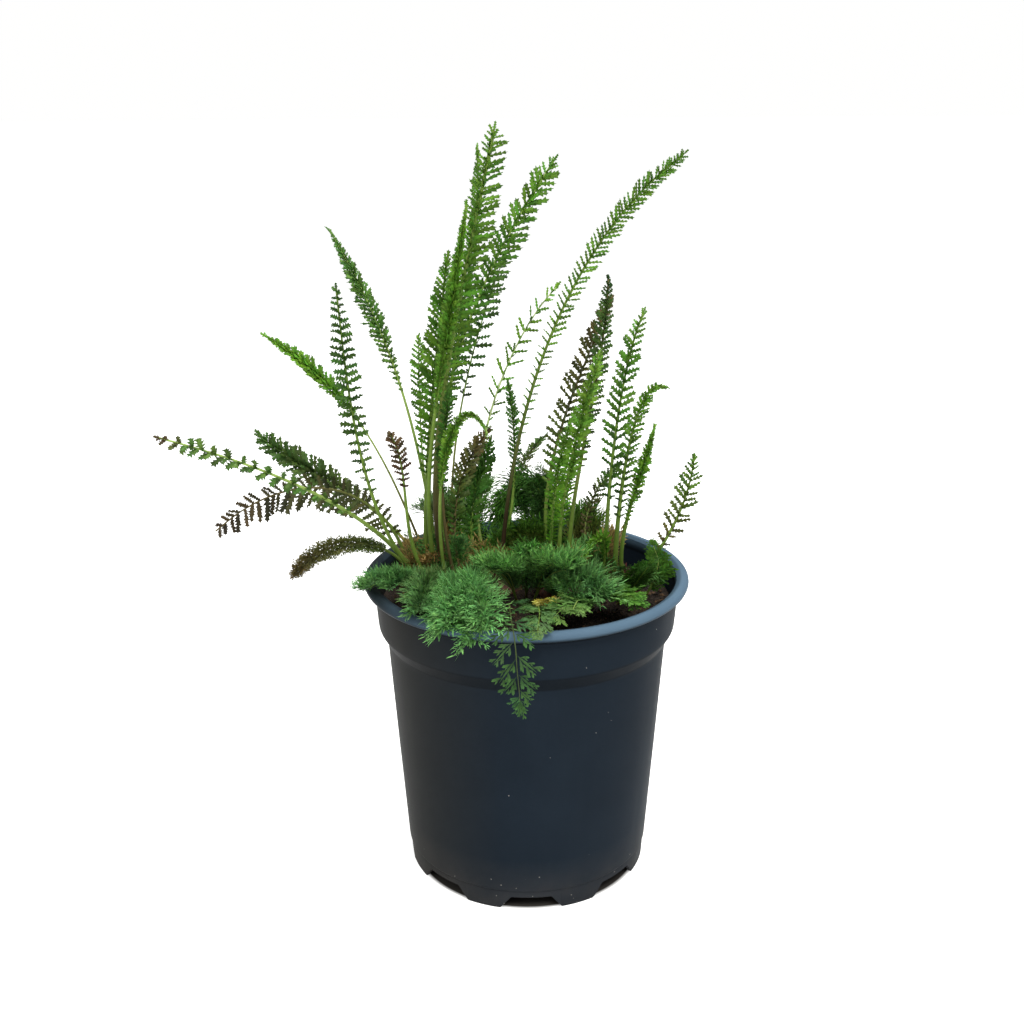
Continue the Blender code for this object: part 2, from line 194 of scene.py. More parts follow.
def pot_material():
    m = Nodes("pot_plastic")
    co = m.coords()
    sep = m.new("ShaderNodeSeparateXYZ")
    m.link(co, sep.inputs[0])
    z = sep.outputs["Z"]
    # streaks that run down the wall, and broad cloudy patches
    stretch = m.new("ShaderNodeMapping")
    stretch.inputs["Scale"].default_value = (1.0, 1.0, 0.08)
    m.link(co, stretch.inputs["Vector"])
    streak = m.noise(stretch.outputs["Vector"], 90, 3.0)
    cloud = m.noise(co, 14, 3.0)
    grain = m.noise(co, 1800, 2.0)
    cool = m.ramp(cloud, [(0.30, (0.0085, 0.0140, 0.0215)), (0.72, (0.0115, 0.0185, 0.0280))])
    warm_painted_reflection = m.ramp(cloud, [(0.30, (0.0165, 0.0168, 0.0158)), (0.72, (0.0205, 0.0208, 0.0196))])
    # painted reflection: the -X side is mixed to a warmer grey, as if lit by warm surroundings there
    side = m.math("MULTIPLY", m.math("SUBTRACT", -0.012, sep.outputs["X"]), 20.0, True)
    base = m.mix(side, cool, warm_painted_reflection)
    base = m.mix(m.math("MULTIPLY", streak, 0.07), base, (0.044, 0.050, 0.056))
    # lip painted lighter and bluer than the body: painted highlight; its -X side, its underside below the crest and
    # its inner edge are painted darker: painted shade
    lip = m.math("MULTIPLY", m.math("SUBTRACT", z, 0.1538), 900.0, True)
    lip_highlight = m.ramp(cloud, [(0.3, (0.072, 0.120, 0.172)), (0.7, (0.094, 0.152, 0.212))])
    lip_side_shade = m.math("MULTIPLY", m.math("SUBTRACT", -0.030, sep.outputs["X"]), 25.0, True)
    lip_painted_light = m.mix(lip_side_shade, lip_highlight, (0.018, 0.026, 0.031))
    crest_lit = m.math("MULTIPLY", m.math("SUBTRACT", z, 0.1548), 550.0, True)
    lip_painted_light = m.mix(crest_lit, (0.016, 0.025, 0.034), lip_painted_light)
    across = m.math("SQRT", m.math("ADD", m.math("MULTIPLY", sep.outputs["X"], sep.outputs["X"]),
                                   m.math("MULTIPLY", sep.outputs["Y"], sep.outputs["Y"])))
    inner = m.math("MULTIPLY", m.math("SUBTRACT", 0.0790, across), 900.0, True)
    lip_painted_light = m.mix(m.math("MULTIPLY", inner, 0.55), lip_painted_light, (0.020, 0.032, 0.044))
    base = m.mix(m.math("MULTIPLY", lip, 0.95), base, lip_painted_light)
    # painted shade: the step under the collar and the groove under the lip are painted dark
    step = m.math("MULTIPLY", m.math("MULTIPLY", m.math("SUBTRACT", z, 0.1252), 900.0, True),
                  m.math("MULTIPLY", m.math("SUBTRACT", 0.1340, z), 900.0, True))
    base = m.mix(m.math("MULTIPLY", step, 0.55), base, (0.004, 0.005, 0.006))
    groove_shade = m.math("MULTIPLY", m.math("MULTIPLY", m.math("SUBTRACT", z, 0.1515), 900.0, True),
                    m.math("MULTIPLY", m.math("SUBTRACT", 0.1540, z), 900.0, True))
    base = m.mix(m.math("MULTIPLY", groove_shade, 0.75), base, (0.004, 0.005, 0.006))
    # pale scuffs and specks, thicker low down
    speck = m.new("ShaderNodeTexVoronoi")
    speck.inputs["Scale"].default_value = 260
    m.link(co, speck.inputs["Vector"])
    dot = m.math("LESS_THAN", speck.outputs["Distance"], 0.085)
    low = m.math("MULTIPLY", m.math("SUBTRACT", 0.030, z), 40.0, True)
    keep = m.math("GREATER_THAN", m.noise(co, 330, 1.0), m.math("SUBTRACT", 0.69, m.math("MULTIPLY", low, 0.22)))
    dots = m.math("MULTIPLY", dot, keep)
    base = m.mix(m.math("MULTIPLY", dots, 0.7), base, (0.30, 0.29, 0.27))
    dust = m.math("MULTIPLY", low, m.math("MULTIPLY", m.noise(co, 60, 4.0), 0.35))
    base = m.mix(dust, base, (0.105, 0.090, 0.075))
    m.link(base, m.bsdf.inputs["Base Color"])
    rough = m.math("ADD", m.math("MULTIPLY", streak, 0.16), 0.36)
    rough = m.math("SUBTRACT", rough, m.math("MULTIPLY", lip, 0.06))
    m.link(rough, m.bsdf.inputs["Roughness"])
    m.bsdf.inputs["Specular IOR Level"].default_value = 0.02
    m.bump(m.math("ADD", m.math("MULTIPLY", grain, 0.5), m.math("MULTIPLY", cloud, 0.5)), 0.12, 0.0006)
    return m.mat


def soil_material():
    m = Nodes("compost")
    co = m.coords()
    tint = m.new("ShaderNodeAttribute")
    tint.attribute_name = "tint"
    fine = m.noise(co, 500, 5.0, 0.65)
    big = m.noise(co, 110, 3.0)
    col = m.ramp(fine, [(0.32, (0.30, 0.30, 0.30)), (0.55, (0.85, 0.85, 0.85)), (0.72, (2.0, 1.9, 1.7))])
    out = m.mix(1.0, tint.outputs["Color"], col, "MULTIPLY")
    m.link(out, m.bsdf.inputs["Base Color"])
    m.link(m.math("ADD", m.math("MULTIPLY", big, 0.25), 0.70), m.bsdf.inputs["Roughness"])
    m.bsdf.inputs["Specular IOR Level"].default_value = 0.25
    m.bump(fine, 0.9, 0.002)
    return m.mat


def crown_material():
    m = Nodes("crown_bark")
    co = m.coords()
    st = m.new("ShaderNodeMapping")
    st.inputs["Scale"].default_value = (1.0, 1.0, 0.25)
    m.link(co, st.inputs["Vector"])
    fib = m.noise(st.outputs["Vector"], 700, 4.0, 0.6)
    big = m.noise(co, 90, 2.0)
    col = m.ramp(fib, [(0.30, (0.030, 0.012, 0.008)), (0.55, (0.105, 0.036, 0.024)), (0.75, (0.20, 0.095, 0.055))])
    tint = m.new("ShaderNodeAttribute")
    tint.attribute_name = "tint"
    out = m.mix(1.0, tint.outputs["Color"], col, "MULTIPLY")
    m.link(out, m.bsdf.inputs["Base Color"])
    m.link(m.math("ADD", m.math("MULTIPLY", big, 0.3), 0.5), m.bsdf.inputs["Roughness"])
    m.bump(fib, 0.8, 0.001)
    return m.mat


LEAF_MAT = leaf_material()
POT_MAT = pot_material()
SOIL_MAT = soil_material()
CROWN_MAT = crown_material()

# ================================================================= leaves
# colours, linear
C_RIB_PALE = (0.260, 0.370, 0.090)
C_RIB = (0.150, 0.240, 0.040)
C_RIB_BROWN = (0.110, 0.088, 0.034)
C_RIB_RED = (0.060, 0.022, 0.014)
C_GREEN = (0.078, 0.185, 0.018)
C_DEEP = (0.038, 0.104, 0.014)
C_DARK = (0.020, 0.050, 0.011)
C_BRIGHT = (0.105, 0.250, 0.020)
C_LIME = (0.135, 0.270, 0.035)
C_BLUE = (0.040, 0.090, 0.034)
C_BROWN = (0.080, 0.056, 0.024)
C_PURPLE = (0.050, 0.027, 0.017)
C_TAN = (0.150, 0.100, 0.045)
C_YELLOW = (0.850, 0.600, 0.130)
C_HANG = (0.030, 0.075, 0.022)
C_EDGE = (0.110, 0.200, 0.070)
C_FAN = (0.052, 0.112, 0.036)

def arc(foot, rise, reach, tip, steps=10):
    """Rib of an upright leaf, the same cubic curve as in the solid model."""
    f = np.linspace(0, 1, steps + 1)[:, None]
    foot, rise, reach, tip = (np.array(q, float) for q in (foot, rise, reach, tip))
    return (1 - f) ** 3 * foot + 3 * f * (1 - f) ** 2 * rise + 3 * f * f * (1 - f) * reach + f ** 3 * tip


# Routes are those of the solid model, in mm.  The rest says how each leaf
# looks: half width (mm) left and right, spacing of the leaflets at foot and
# tip (mm), rib colour low and high, leaflet colour low and high, and form.
LEAVES = {
    "leaf_far_left": dict(route=arc((-57, 9, 151), (-72, 6, 185), (-120, -8, 215), (-175, -22, 235)), bare=.34, stalk=1.5, turn=20, hw=(6.0, 6.4), gap=(8.0, 5.6), rib=(C_RIB, C_RIB_PALE), leaf=((0.070, 0.150, 0.022), (0.060, 0.120, 0.024)), end=C_BROWN, form="tall", wide="full", ang=(72, 58), pw=0.75, most=5.0),
    "leaf_left_feather": dict(route=arc((-54, 23, 149), (-72, 34, 186), (-116, 36, 198), (-139, 34, 221)), bare=.42, stalk=1.1, turn=-15, hw=(8.5, 8.0), gap=(2.4, 1.8), rib=(C_RIB, C_RIB_PALE), leaf=((0.070, 0.100, 0.026), (0.052, 0.118, 0.022)), form="tall", ang=(60, 44)),
    "leaf_left_comb": dict(route=arc((-61, 21, 147.5), (-70, 16, 205), (-118, 8, 215), (-157, -2, 181)), bare=.20, stalk=1.2, turn=10, hw=(8.5, 14.5), gap=(3.6, 4.0), rib=(C_RIB, C_RIB_BROWN), leaf=((0.050, 0.062, 0.018), (0.036, 0.025, 0.013)), form="comb", pale=1.05),
    "leaf_left_inner_tall": dict(route=arc((-54, 6, 151), (-84, -4, 185), (-84, -22, 262), (-85, -34, 307)), bare=.36, stalk=1.25, turn=12, hw=(7.0, 7.0), gap=(5.6, 3.2), rib=(C_RIB, C_RIB), leaf=((0.042, 0.090, 0.016), C_DEEP), form="tall", ang=(78, 62), pw=0.56, most=3.9),
    "leaf_left_low_brush": dict(route=arc((-60, 13, 150), (-70, 11, 178), (-108, 12, 172), (-121, 14, 152)), bare=.28, stalk=1.1, turn=30, hw=(7.0, 7.0), gap=(1.5, 1.3), rib=(C_RIB, C_RIB_BROWN), leaf=((0.060, 0.090, 0.022), C_BROWN), form="brush"),
    "leaf_left_thin": dict(route=arc((-50, 29, 145), (-68, 36, 190), (-82, 38, 242), (-135, 44, 272)), bare=.56, stalk=.9, turn=-25, hw=(5.4, 5.4), gap=(2.0, 1.3), rib=(C_RIB_BROWN, C_RIB_PALE), leaf=(C_GREEN, C_BRIGHT), form="spindle"),
    "leaf_upper_left": dict(route=arc((-46, 20, 151), (-54, 32, 210), (-64, 46, 262), (-101, 62, 323)), bare=.50, stalk=1.2, turn=35, hw=(7.4, 7.4), gap=(3.2, 1.5), rib=(C_RIB, C_RIB_PALE), leaf=((0.062, 0.150, 0.022), (0.090, 0.200, 0.040)), form="spindle", ang=(66, 44)),
    "leaf_pale_small": dict(route=arc((-44, 33, 145), (-58, 44, 180), (-57, 56, 235), (-58, 74, 265)), bare=.60, stalk=.9, turn=-20, hw=(6.0, 6.0), gap=(3.6, 2.6), rib=(C_RIB, C_RIB_PALE), leaf=(C_GREEN, C_BRIGHT), form="tall", ang=(62, 50)),
    "leaf_dark_tip_short": dict(route=arc((-49, 3, 151), (-66, -3, 175), (-55, -10, 215), (-65, -17, 235)), bare=.66, stalk=1.4, turn=10, hw=(5.0, 5.0), gap=(3.4, 2.2), rib=(C_RIB, C_RIB), leaf=(C_PURPLE, C_BROWN), form="tall"),
    "leaf_broad_feather": dict(route=arc((-52, 14, 151), (-53, 11, 205), (-45, 10, 260), (-38, 12, 313)), bare=.34, stalk=1.6, turn=-18, hw=(9.4, 9.4), gap=(3.0, 2.4), rib=(C_RIB, C_RIB), leaf=(C_GREEN, C_GREEN), form="tall", ang=(60, 44), pw=0.34),
    "leaf_tallest": dict(route=arc((-41, 10, 153), (-56, 4, 210), (-30, -7, 300), (-14, -14, 374)), bare=.40, stalk=2.3, turn=14, hw=(11.0, 6.5), gap=(3.2, 2.8), rib=(C_RIB_BROWN, C_RIB), leaf=(C_GREEN, C_GREEN), form="tall", ang=(64, 58), pw=0.24, wide="full", pale=0.8),
    "leaf_tall_slim": dict(route=arc((-44, 14, 151), (-52, 17, 225), (-20, 24, 310), (-23, 28, 365)), bare=.50, stalk=1.3, turn=-30, hw=(4.6, 4.6), gap=(2.4, 2.0), rib=(C_RIB, C_RIB), leaf=(C_DEEP, C_GREEN), form="tall", ang=(56, 44)),
    "leaf_tall_spindle": dict(route=arc((-46, 7, 151), (-57, 0, 210), (-36, -18, 275), (-26, -30, 343)), bare=.46, stalk=1.5, turn=28, hw=(4.8, 4.8), gap=(1.5, 1.2), rib=(C_RIB, C_RIB), leaf=(C_GREEN, C_BRIGHT), form="spindle"),
    "leaf_right_curve": dict(route=arc((-39, 14, 151), (-60, 24, 240), (-18, 36, 312), (14, 48, 358)), bare=.40, stalk=1.4, turn=-12, hw=(8.8, 7.4), gap=(4.2, 3.0), rib=(C_RIB, C_RIB_PALE), leaf=(C_DEEP, C_GREEN), form="tall", ang=(62, 48), pw=0.42, wide="full"),
    "leaf_thin_brown": dict(route=arc((-36, 20, 150), (-46, 34, 195), (-32, 52, 260), (-11, 70, 309)), bare=.55, stalk=.9, turn=18, hw=(9.0, 5.5), gap=(5.5, 4.4), rib=(C_TAN, C_RIB), leaf=(C_DARK, C_DEEP), form="tall", ang=(76, 66)),
    "leaf_dark_inner": dict(route=arc((-36, 3, 150), (-45, -3, 190), (-41, -9, 220), (-37, -12, 255)), bare=.50, stalk=1.1, turn=-10, hw=(4.4, 4.4), gap=(2.2, 1.7), rib=(C_RIB_BROWN, C_RIB_BROWN), leaf=(C_DEEP, C_DEEP), form="tall"),
    "leaf_bright_arch": dict(route=arc((-41, 1, 150), (-50, -6, 215), (-30, -26, 268), (-18, -31, 239)), bare=.44, stalk=1.2, turn=25, hw=(3.8, 3.8), gap=(1.3, 1.1), rib=(C_RIB, C_RIB_PALE), leaf=(C_BRIGHT, C_LIME), form="spindle"),
    "leaf_dark_arch": dict(route=arc((-32, 5, 148), (-42, 11, 178), (-36, 18, 208), (-20, 26, 225)), bare=.30, stalk=1.1, turn=-22, hw=(6.4, 6.4), gap=(2.6, 2.0), rib=(C_RIB_BROWN, C_RIB_BROWN), leaf=(C_DEEP, C_BROWN), form="tall"),
    "leaf_fan_dark": dict(route=arc((-24, 16, 151), (-34, 22, 176), (-26, 31, 196), (-19, 38, 215)), bare=.30, stalk=1.1, turn=15, hw=(8.0, 8.0), gap=(2.2, 1.7), rib=(C_RIB, C_RIB), leaf=(C_DEEP, C_DEEP), form="tall"),
    "leaf_pale_long": dict(route=arc((-20, 22, 150), (-37, 36, 195), (-14, 58, 262), (16, 68, 293)), bare=.42, stalk=1.1, turn=-15, hw=(6.8, 7.4), gap=(7.6, 6.0), rib=(C_RIB_PALE, (0.42, 0.50, 0.25)), leaf=(C_GREEN, C_BRIGHT), form="tall", ang=(60, 46), pw=0.26, most=2.3),
    "leaf_tall_right": dict(route=arc((-13, 11, 151), (-10, 4, 225), (12, -12, 320), (69, -30, 364)), bare=.34, stalk=1.25, turn=20, hw=(5.6, 4.6), gap=(4.4, 1.6), rib=((0.045, 0.028, 0.014), C_RIB), leaf=(C_GREEN, C_GREEN), form="tall", ang=(58, 38), pw=0.26, wide="full", pale=0.75, least=1.4),
    "leaf_mid_dark": dict(route=arc((-15, 16, 152), (-6, 17, 180), (-3, 24, 215), (-9, 38, 247)), bare=.46, stalk=1.1, turn=-25, hw=(4.2, 4.2), gap=(2.4, 1.8), rib=(C_RIB, C_RIB), leaf=(C_DEEP, C_DEEP), form="tall"),
    "leaf_mid_brown": dict(route=arc((-9, 22, 149), (-14, 34, 178), (-4, 54, 204), (11, 78, 209)), bare=.40, stalk=1.0, turn=20, hw=(4.6, 4.6), gap=(2.4, 2.0), rib=(C_RIB_BROWN, C_RIB_BROWN), leaf=(C_BROWN, C_DEEP), form="tall"),
    "leaf_top_brown": dict(route=arc((14, 13, 149), (0, 18, 200), (26, 25, 250), (43, 30, 292)), bare=.34, stalk=1.3, turn=-15, hw=(5.6, 9.0), gap=(4.2, 3.0), rib=(C_RIB, C_RIB_BROWN), leaf=((0.060, 0.115, 0.020), (0.085, 0.066, 0.026)), form="tall", ang=(64, 50)),
    "leaf_tall_brown": dict(route=arc((22, 8, 150), (20, 5, 200), (38, 0, 255), (39, -6, 307)), bare=.40, stalk=1.4, turn=15, hw=(5.6, 5.6), gap=(3.4, 2.2), rib=(C_RIB, C_RIB_BROWN), leaf=((0.045, 0.085, 0.018), (0.042, 0.088, 0.018)), form="tall", ang=(60, 44), end=C_DARK),
    "leaf_bright_dense": dict(route=arc((17, 4, 150), (15, -4, 195), (24, -16, 235), (34, -30, 277)), bare=.26, stalk=1.3, turn=-12, hw=(6.2, 6.2), gap=(2.4, 1.9), rib=(C_RIB, C_RIB_PALE), leaf=(C_BRIGHT, C_LIME), form="tall", ang=(56, 42)),
    "leaf_bright_low": dict(route=arc((13, 0, 148.5), (11, -12, 185), (14, -34, 225), (20, -46, 247)), bare=.30, stalk=1.2, turn=20, hw=(5.0, 5.0), gap=(2.4, 1.9), rib=(C_RIB, C_RIB_PALE), leaf=(C_BRIGHT, C_GREEN), form="tall"),
    "leaf_right_tall": dict(route=arc((41, 15, 150), (42, 18, 200), (47, 26, 255), (59, 30, 285)), bare=.30, stalk=1.4, turn=15, hw=(7.4, 7.4), gap=(5.4, 3.0), rib=(C_RIB, C_RIB), leaf=(C_DEEP, C_GREEN), form="tall", ang=(60, 44)),
    "leaf_right_hook": dict(route=arc((46, 10, 152), (46, 4, 205), (54, -2, 262), (67, -4, 255)), bare=.30, stalk=1.6, turn=-18, hw=(5.8, 5.8), gap=(4.4, 1.7), rib=(C_RIB, C_RIB), leaf=(C_DARK, C_BRIGHT), form="tall", ang=(62, 46)),
    "leaf_right_spindle": dict(route=arc((50, 3, 150), (44, -4, 178), (55, -16, 208), (60, -30, 241)), bare=.34, stalk=1.4, turn=25, hw=(4.4, 4.4), gap=(2.6, 1.1), rib=(C_RIB, C_RIB), leaf=(C_BRIGHT, C_BRIGHT), form="spindle"),
    "leaf_right_side_twig": dict(route=arc((38, 21, 146), (26, 30, 162), (30, 42, 186), (51, 60, 197)), bare=.35, stalk=1.0, turn=-20, hw=(4.6, 4.6), gap=(3.0, 2.4), rib=(C_RIB_BROWN, C_RIB), leaf=(C_BROWN, C_DEEP), form="tall"),
    "leaf_far_right": dict(route=arc((61, 19, 145), (70, 20, 165), (84, 22, 180), (87, 26, 210)), bare=.26, stalk=1.3, turn=10, hw=(7.0, 7.6), gap=(4.8, 2.8), rib=(C_RIB, C_RIB), leaf=(C_BROWN, C_GREEN), form="tall", ang=(62, 46), pw=0.36),
    "leaf_rim_centre": dict(route=[(-25, -8, 145), (-28, -28, 161), (-25, -52, 168), (-20, -77, 169), (-17, -92, 162), (-15, -98, 155)], bare=.10, stalk=0.38, turn=0, hw=(11, 11), gap=(2.0, 2.4), rib=(C_RIB, C_RIB), leaf=(C_BLUE, C_BLUE), form="fine", fan=(3, 9), pale=12.5, cut=0.86),
    "leaf_rim_mid": dict(route=[(-30, -7, 145), (-37, -26, 158), (-37, -50, 164), (-35, -75, 166), (-34, -90, 160), (-34, -95, 155)], bare=.10, stalk=0.38, turn=0, hw=(10, 10), gap=(2.0, 2.4), rib=(C_RIB, C_RIB), leaf=(C_BLUE, C_BLUE), form="fine", fan=(3, 9), pale=12.5, cut=0.90),
    "leaf_rim_left": dict(route=[(-35, -6, 145), (-43, -16, 158), (-48, -34, 163), (-49, -56, 166), (-50, -72, 163)], bare=.10, stalk=0.38, turn=0, hw=(8.5, 8.5), gap=(2.0, 2.2), rib=(C_RIB, C_RIB), leaf=((0.050, 0.070, 0.028), C_BLUE), form="fine", fan=(3, 9), pale=8.0, cut=0.95),
    "leaf_rim_far_left": dict(route=[(-46, -7, 145), (-54, -12, 156), (-62, -21, 161), (-70, -32, 165), (-76, -40, 165)], bare=.10, stalk=0.4, turn=0, hw=(7.5, 7.5), gap=(1.9, 1.9), rib=(C_RIB, C_RIB), leaf=(C_BLUE, C_BLUE), form="fine", fan=(3, 24), pale=9.0),
    "leaf_hanging": dict(route=[(-8, -30, 145), (-8, -55, 163), (-7, -78, 166), (-5, -91, 159), (-4, -95, 146), (-3, -94, 134), (-3, -91, 124)], bare=.30, stalk=0.58, turn=0, hw=(9.5, 10.5), gap=(9.6, 7.6), rib=((0.075, 0.052, 0.022), (0.045, 0.070, 0.020)), leaf=((0.013, 0.034, 0.011), (0.015, 0.040, 0.012)), form="lobed", pale=3.4, cut=0.93),
    "leaf_rim_small": dict(route=[(3, -36, 145), (5, -52, 160), (6, -70, 165), (5, -87, 162)], bare=.15, stalk=0.55, turn=0, hw=(7.0, 7.0), gap=(3.4, 3.2), rib=(C_RIB, C_RIB), leaf=((0.045, 0.095, 0.024), (0.070, 0.130, 0.045)), form="lobed", pale=1.7, fan=(1, 0)),
    "leaf_mid_fan_up": dict(route=[(0, 1, 145), (1, -3, 157), (2, -9, 168), (3, -14, 177)], bare=.18, stalk=0.45, turn=0, hw=(10, 10), gap=(2.4, 2.2), rib=(C_RIB, C_RIB_PALE), leaf=(C_BLUE, C_FAN), form="fine", fan=(3, 34), pale=12.0),
    "leaf_mid_fan_right": dict(route=[(4, -6, 145), (9, -14, 158), (14, -25, 167), (19, -35, 172)], bare=.18, stalk=0.45, turn=0, hw=(10, 10), gap=(2.4, 2.2), rib=(C_RIB, C_RIB_PALE), leaf=(C_BLUE, C_FAN), form="fine", fan=(3, 30), pale=12.0),
    "leaf_mid_fan_left": dict(route=[(-5, -6, 145), (-9, -13, 158), (-13, -22, 166), (-17, -32, 171)], bare=.18, stalk=0.45, turn=0, hw=(10, 10), gap=(2.4, 2.2), rib=(C_RIB, C_RIB_PALE), leaf=(C_BLUE, C_FAN), form="fine", fan=(3, 30), pale=11.0),
    "leaf_brown_fan": dict(route=[(1, 19, 145), (-1, 20, 157), (-3, 20, 173)], bare=.15, stalk=0.45, turn=0, hw=(11, 11), gap=(1.5, 1.5), rib=(C_RIB_RED, C_RIB_BROWN), leaf=(C_BROWN, C_DEEP), form="fine", fan=(5, 42)),
    "leaf_yellow": dict(route=[(7, -25, 145), (8, -33, 153), (11, -44, 160)], bare=.25, stalk=0.5, turn=0, hw=(5.5, 5.5), gap=(2.2, 2.0), rib=(C_YELLOW, C_YELLOW), leaf=((0.90, 0.66, 0.20), (0.95, 0.74, 0.28)), form="lobed"),
    "leaf_dome": dict(route=[(15, -9, 145), (20, -20, 158), (28, -33, 165), (36, -46, 163)], bare=.12, stalk=0.45, turn=0, hw=(11, 11), gap=(1.8, 1.7), rib=(C_RIB, C_RIB), leaf=(C_BLUE, C_BLUE), form="fine", fan=(3, 26), pale=9.0),
    "leaf_front_lobed": dict(route=[(27, -22, 145), (24, -36, 155), (18, -52, 160), (12, -66, 160)], bare=.12, stalk=0.6, turn=0, hw=(8.0, 8.0), gap=(4.2, 4.0), rib=(C_RIB, C_RIB_PALE), leaf=((0.050, 0.105, 0.020), (0.075, 0.145, 0.040)), form="lobed", pale=1.7, fan=(2, 24)),
    "leaf_front_right": dict(route=[(31, -12, 145), (40, -26, 157), (46, -37, 161), (52, -47, 162)], bare=.12, stalk=0.5, turn=0, hw=(8, 8), gap=(2.4, 2.2), rib=(C_RIB, C_RIB), leaf=(C_DEEP, (0.052, 0.125, 0.022)), form="lobed", pale=2.2, fan=(3, 26)),
    "leaf_arch_back": dict(route=[(3, 31, 145), (8, 31, 156), (9, 31, 186), (2, 31, 198), (-5, 32, 196), (-11, 33, 187)], bare=.30, stalk=0.6, turn=0, hw=(9, 9), gap=(1.7, 1.5), rib=(C_RIB, C_RIB), leaf=(C_BLUE, C_DEEP), form="fine", fan=(3, 26)),
    "leaf_arch_small": dict(route=[(39, 8, 150.5), (40, 0, 168), (38, -6, 178), (33, -9, 176), (29, -10, 169)], bare=.30, stalk=1.0, turn=0, hw=(4.2, 4.2), gap=(1.7, 1.5), rib=(C_RIB, C_RIB), leaf=(C_GREEN, C_BRIGHT), form="spindle"),
    "leaf_right_inner": dict(route=[(62, 1, 145), (65, -1, 154), (67, -3, 164), (64, -5, 174)], bare=.15, stalk=0.55, turn=0, hw=(5.5, 5.5), gap=(2.6, 2.4), rib=(C_RIB, C_RIB_PALE), leaf=(C_DEEP, (0.052, 0.125, 0.022)), form="lobed", pale=1.8, fan=(2, 20)),
    "leaf_right_low": dict(route=[(48, -8, 145), (52, -13, 152), (56, -20, 162), (60, -26, 171)], bare=.15, stalk=0.55, turn=0, hw=(6.5, 6.5), gap=(2.4, 2.2), rib=(C_RIB, C_RIB), leaf=(C_DEEP, (0.052, 0.125, 0.022)), form="lobed", pale=1.8, fan=(3, 26)),
    "leaf_back_left": dict(route=[(-30, 36, 145), (-30, 50, 164), (-33, 68, 178), (-35, 84, 176)], bare=.18, stalk=0.5, turn=0, hw=(8, 8), gap=(2.2, 1.9), rib=(C_RIB, C_RIB), leaf=(C_GREEN, C_BLUE), form="fine", fan=(3, 34)),
    "leaf_back_far_left": dict(route=[(-40, 44, 145), (-43, 53, 162), (-49, 63, 171), (-52, 71, 170)], bare=.18, stalk=0.5, turn=0, hw=(8, 8), gap=(2.0, 1.8), rib=(C_RIB, C_RIB), leaf=(C_BROWN, C_BLUE), form="fine", fan=(3, 34)),
    "leaf_back_right": dict(route=[(28, 34, 145), (34, 47, 158), (34, 60, 168)], bare=.18, stalk=0.5, turn=0, hw=(9, 9), gap=(2.0, 1.8), rib=(C_RIB_BROWN, C_RIB_BROWN), leaf=(C_BROWN, C_DEEP), form="fine", fan=(4, 34)),
    "leaf_back_centre": dict(route=[(8, 44, 145), (9, 58, 164), (8, 74, 176), (5, 90, 172)], bare=.18, stalk=0.5, turn=0, hw=(7.5, 7.5), gap=(2.0, 1.8), rib=(C_RIB, C_RIB), leaf=(C_DEEP, C_BLUE), form="fine", fan=(3, 30)),
}
UP = {"leaf_rim_centre", "leaf_rim_mid", "leaf_rim_left", "leaf_rim_far_left",
      "leaf_hanging", "leaf_rim_small", "leaf_mid_fan_right",
      "leaf_mid_fan_left", "leaf_yellow", "leaf_dome", "leaf_front_lobed",
      "leaf_front_right", "leaf_right_low", "leaf_back_left",
      "leaf_back_far_left", "leaf_back_right", "leaf_back_centre"}


def spline(route, count):
    """Smooth curve through the route's points (centripetal Catmull-Rom)."""
    p = np.array(route, float)
    p = np.vstack([2 * p[0] - p[1], p, 2 * p[-1] - p[-2]])
    t = np.concatenate([[0], np.cumsum(np.linalg.norm(np.diff(p, axis=0), axis=1) ** 0.5)])
    fine = []
    for i in range(1, len(p) - 2):
        last = i == len(p) - 3
        x = np.linspace(t[i], t[i + 1], 25 if last else 24, endpoint=last)[:, None]

        def lerp(a, b, ta, tb):
            return a + (b - a) * (x - ta) / (tb - ta)
        a1 = lerp(p[i - 1], p[i], t[i - 1], t[i])
        a2 = lerp(p[i], p[i + 1], t[i], t[i + 1])
        a3 = lerp(p[i + 1], p[i + 2], t[i + 1], t[i + 2])
        b1 = lerp(a1, a2, t[i - 1], t[i + 1])
        b2 = lerp(a2, a3, t[i], t[i + 2])
        fine.append(lerp(b1, b2, t[i], t[i + 1]))
    fine = np.vstack(fine)
    run = np.concatenate([[0], np.cumsum(np.linalg.norm(np.diff(fine, axis=0), axis=1))])
    d = np.linspace(0, run[-1], count)
    return np.stack([np.interp(d, run, fine[:, k]) for k in range(3)], 1), run[-1]


def carried_frames(pts, normal):
    """Tangent, width and up direction at each point, without twist."""
    tan = unit(np.gradient(pts, axis=0))
    w = unit(np.cross(tan[0], normal))
    wide = [w]
    for i in range(1, len(pts)):
        w = w - tan[i] * np.dot(w, tan[i])
        w = w / max(np.linalg.norm(w), 1e-9)
        wide.append(w)
    wide = np.array(wide)
    return tan, wide, unit(np.cross(wide, tan))


def tube(mesh, pts, radii, cols, sides=6, squash=1.0, normal=(0.3, 0.8, 0.1)):
    """Round or oval tube along pts, open at both ends."""
    tan, wide, up = carried_frames(pts, np.array(normal, float))
    a = np.arange(sides) * 2 * np.pi / sides
    ring = (wide[:, None, :] * np.cos(a)[None, :, None]
            + up[:, None, :] * np.sin(a)[None, :, None] * squash)
    v = pts[:, None, :] + ring * radii[:, None, None]
    c = np.repeat(np.asarray(cols)[:, None, :], sides, 1)
    n = len(pts)
    i = np.arange(n - 1)[:, None] * sides
    k = np.arange(sides)[None, :]
    k2 = (k + 1) % sides
    quads = np.stack([i + k, i + k2, i + sides + k2, i + sides + k], -1).reshape(-1, 4)
    mesh.add(v.reshape(-1, 3), c.reshape(-1, 3), quads=quads)


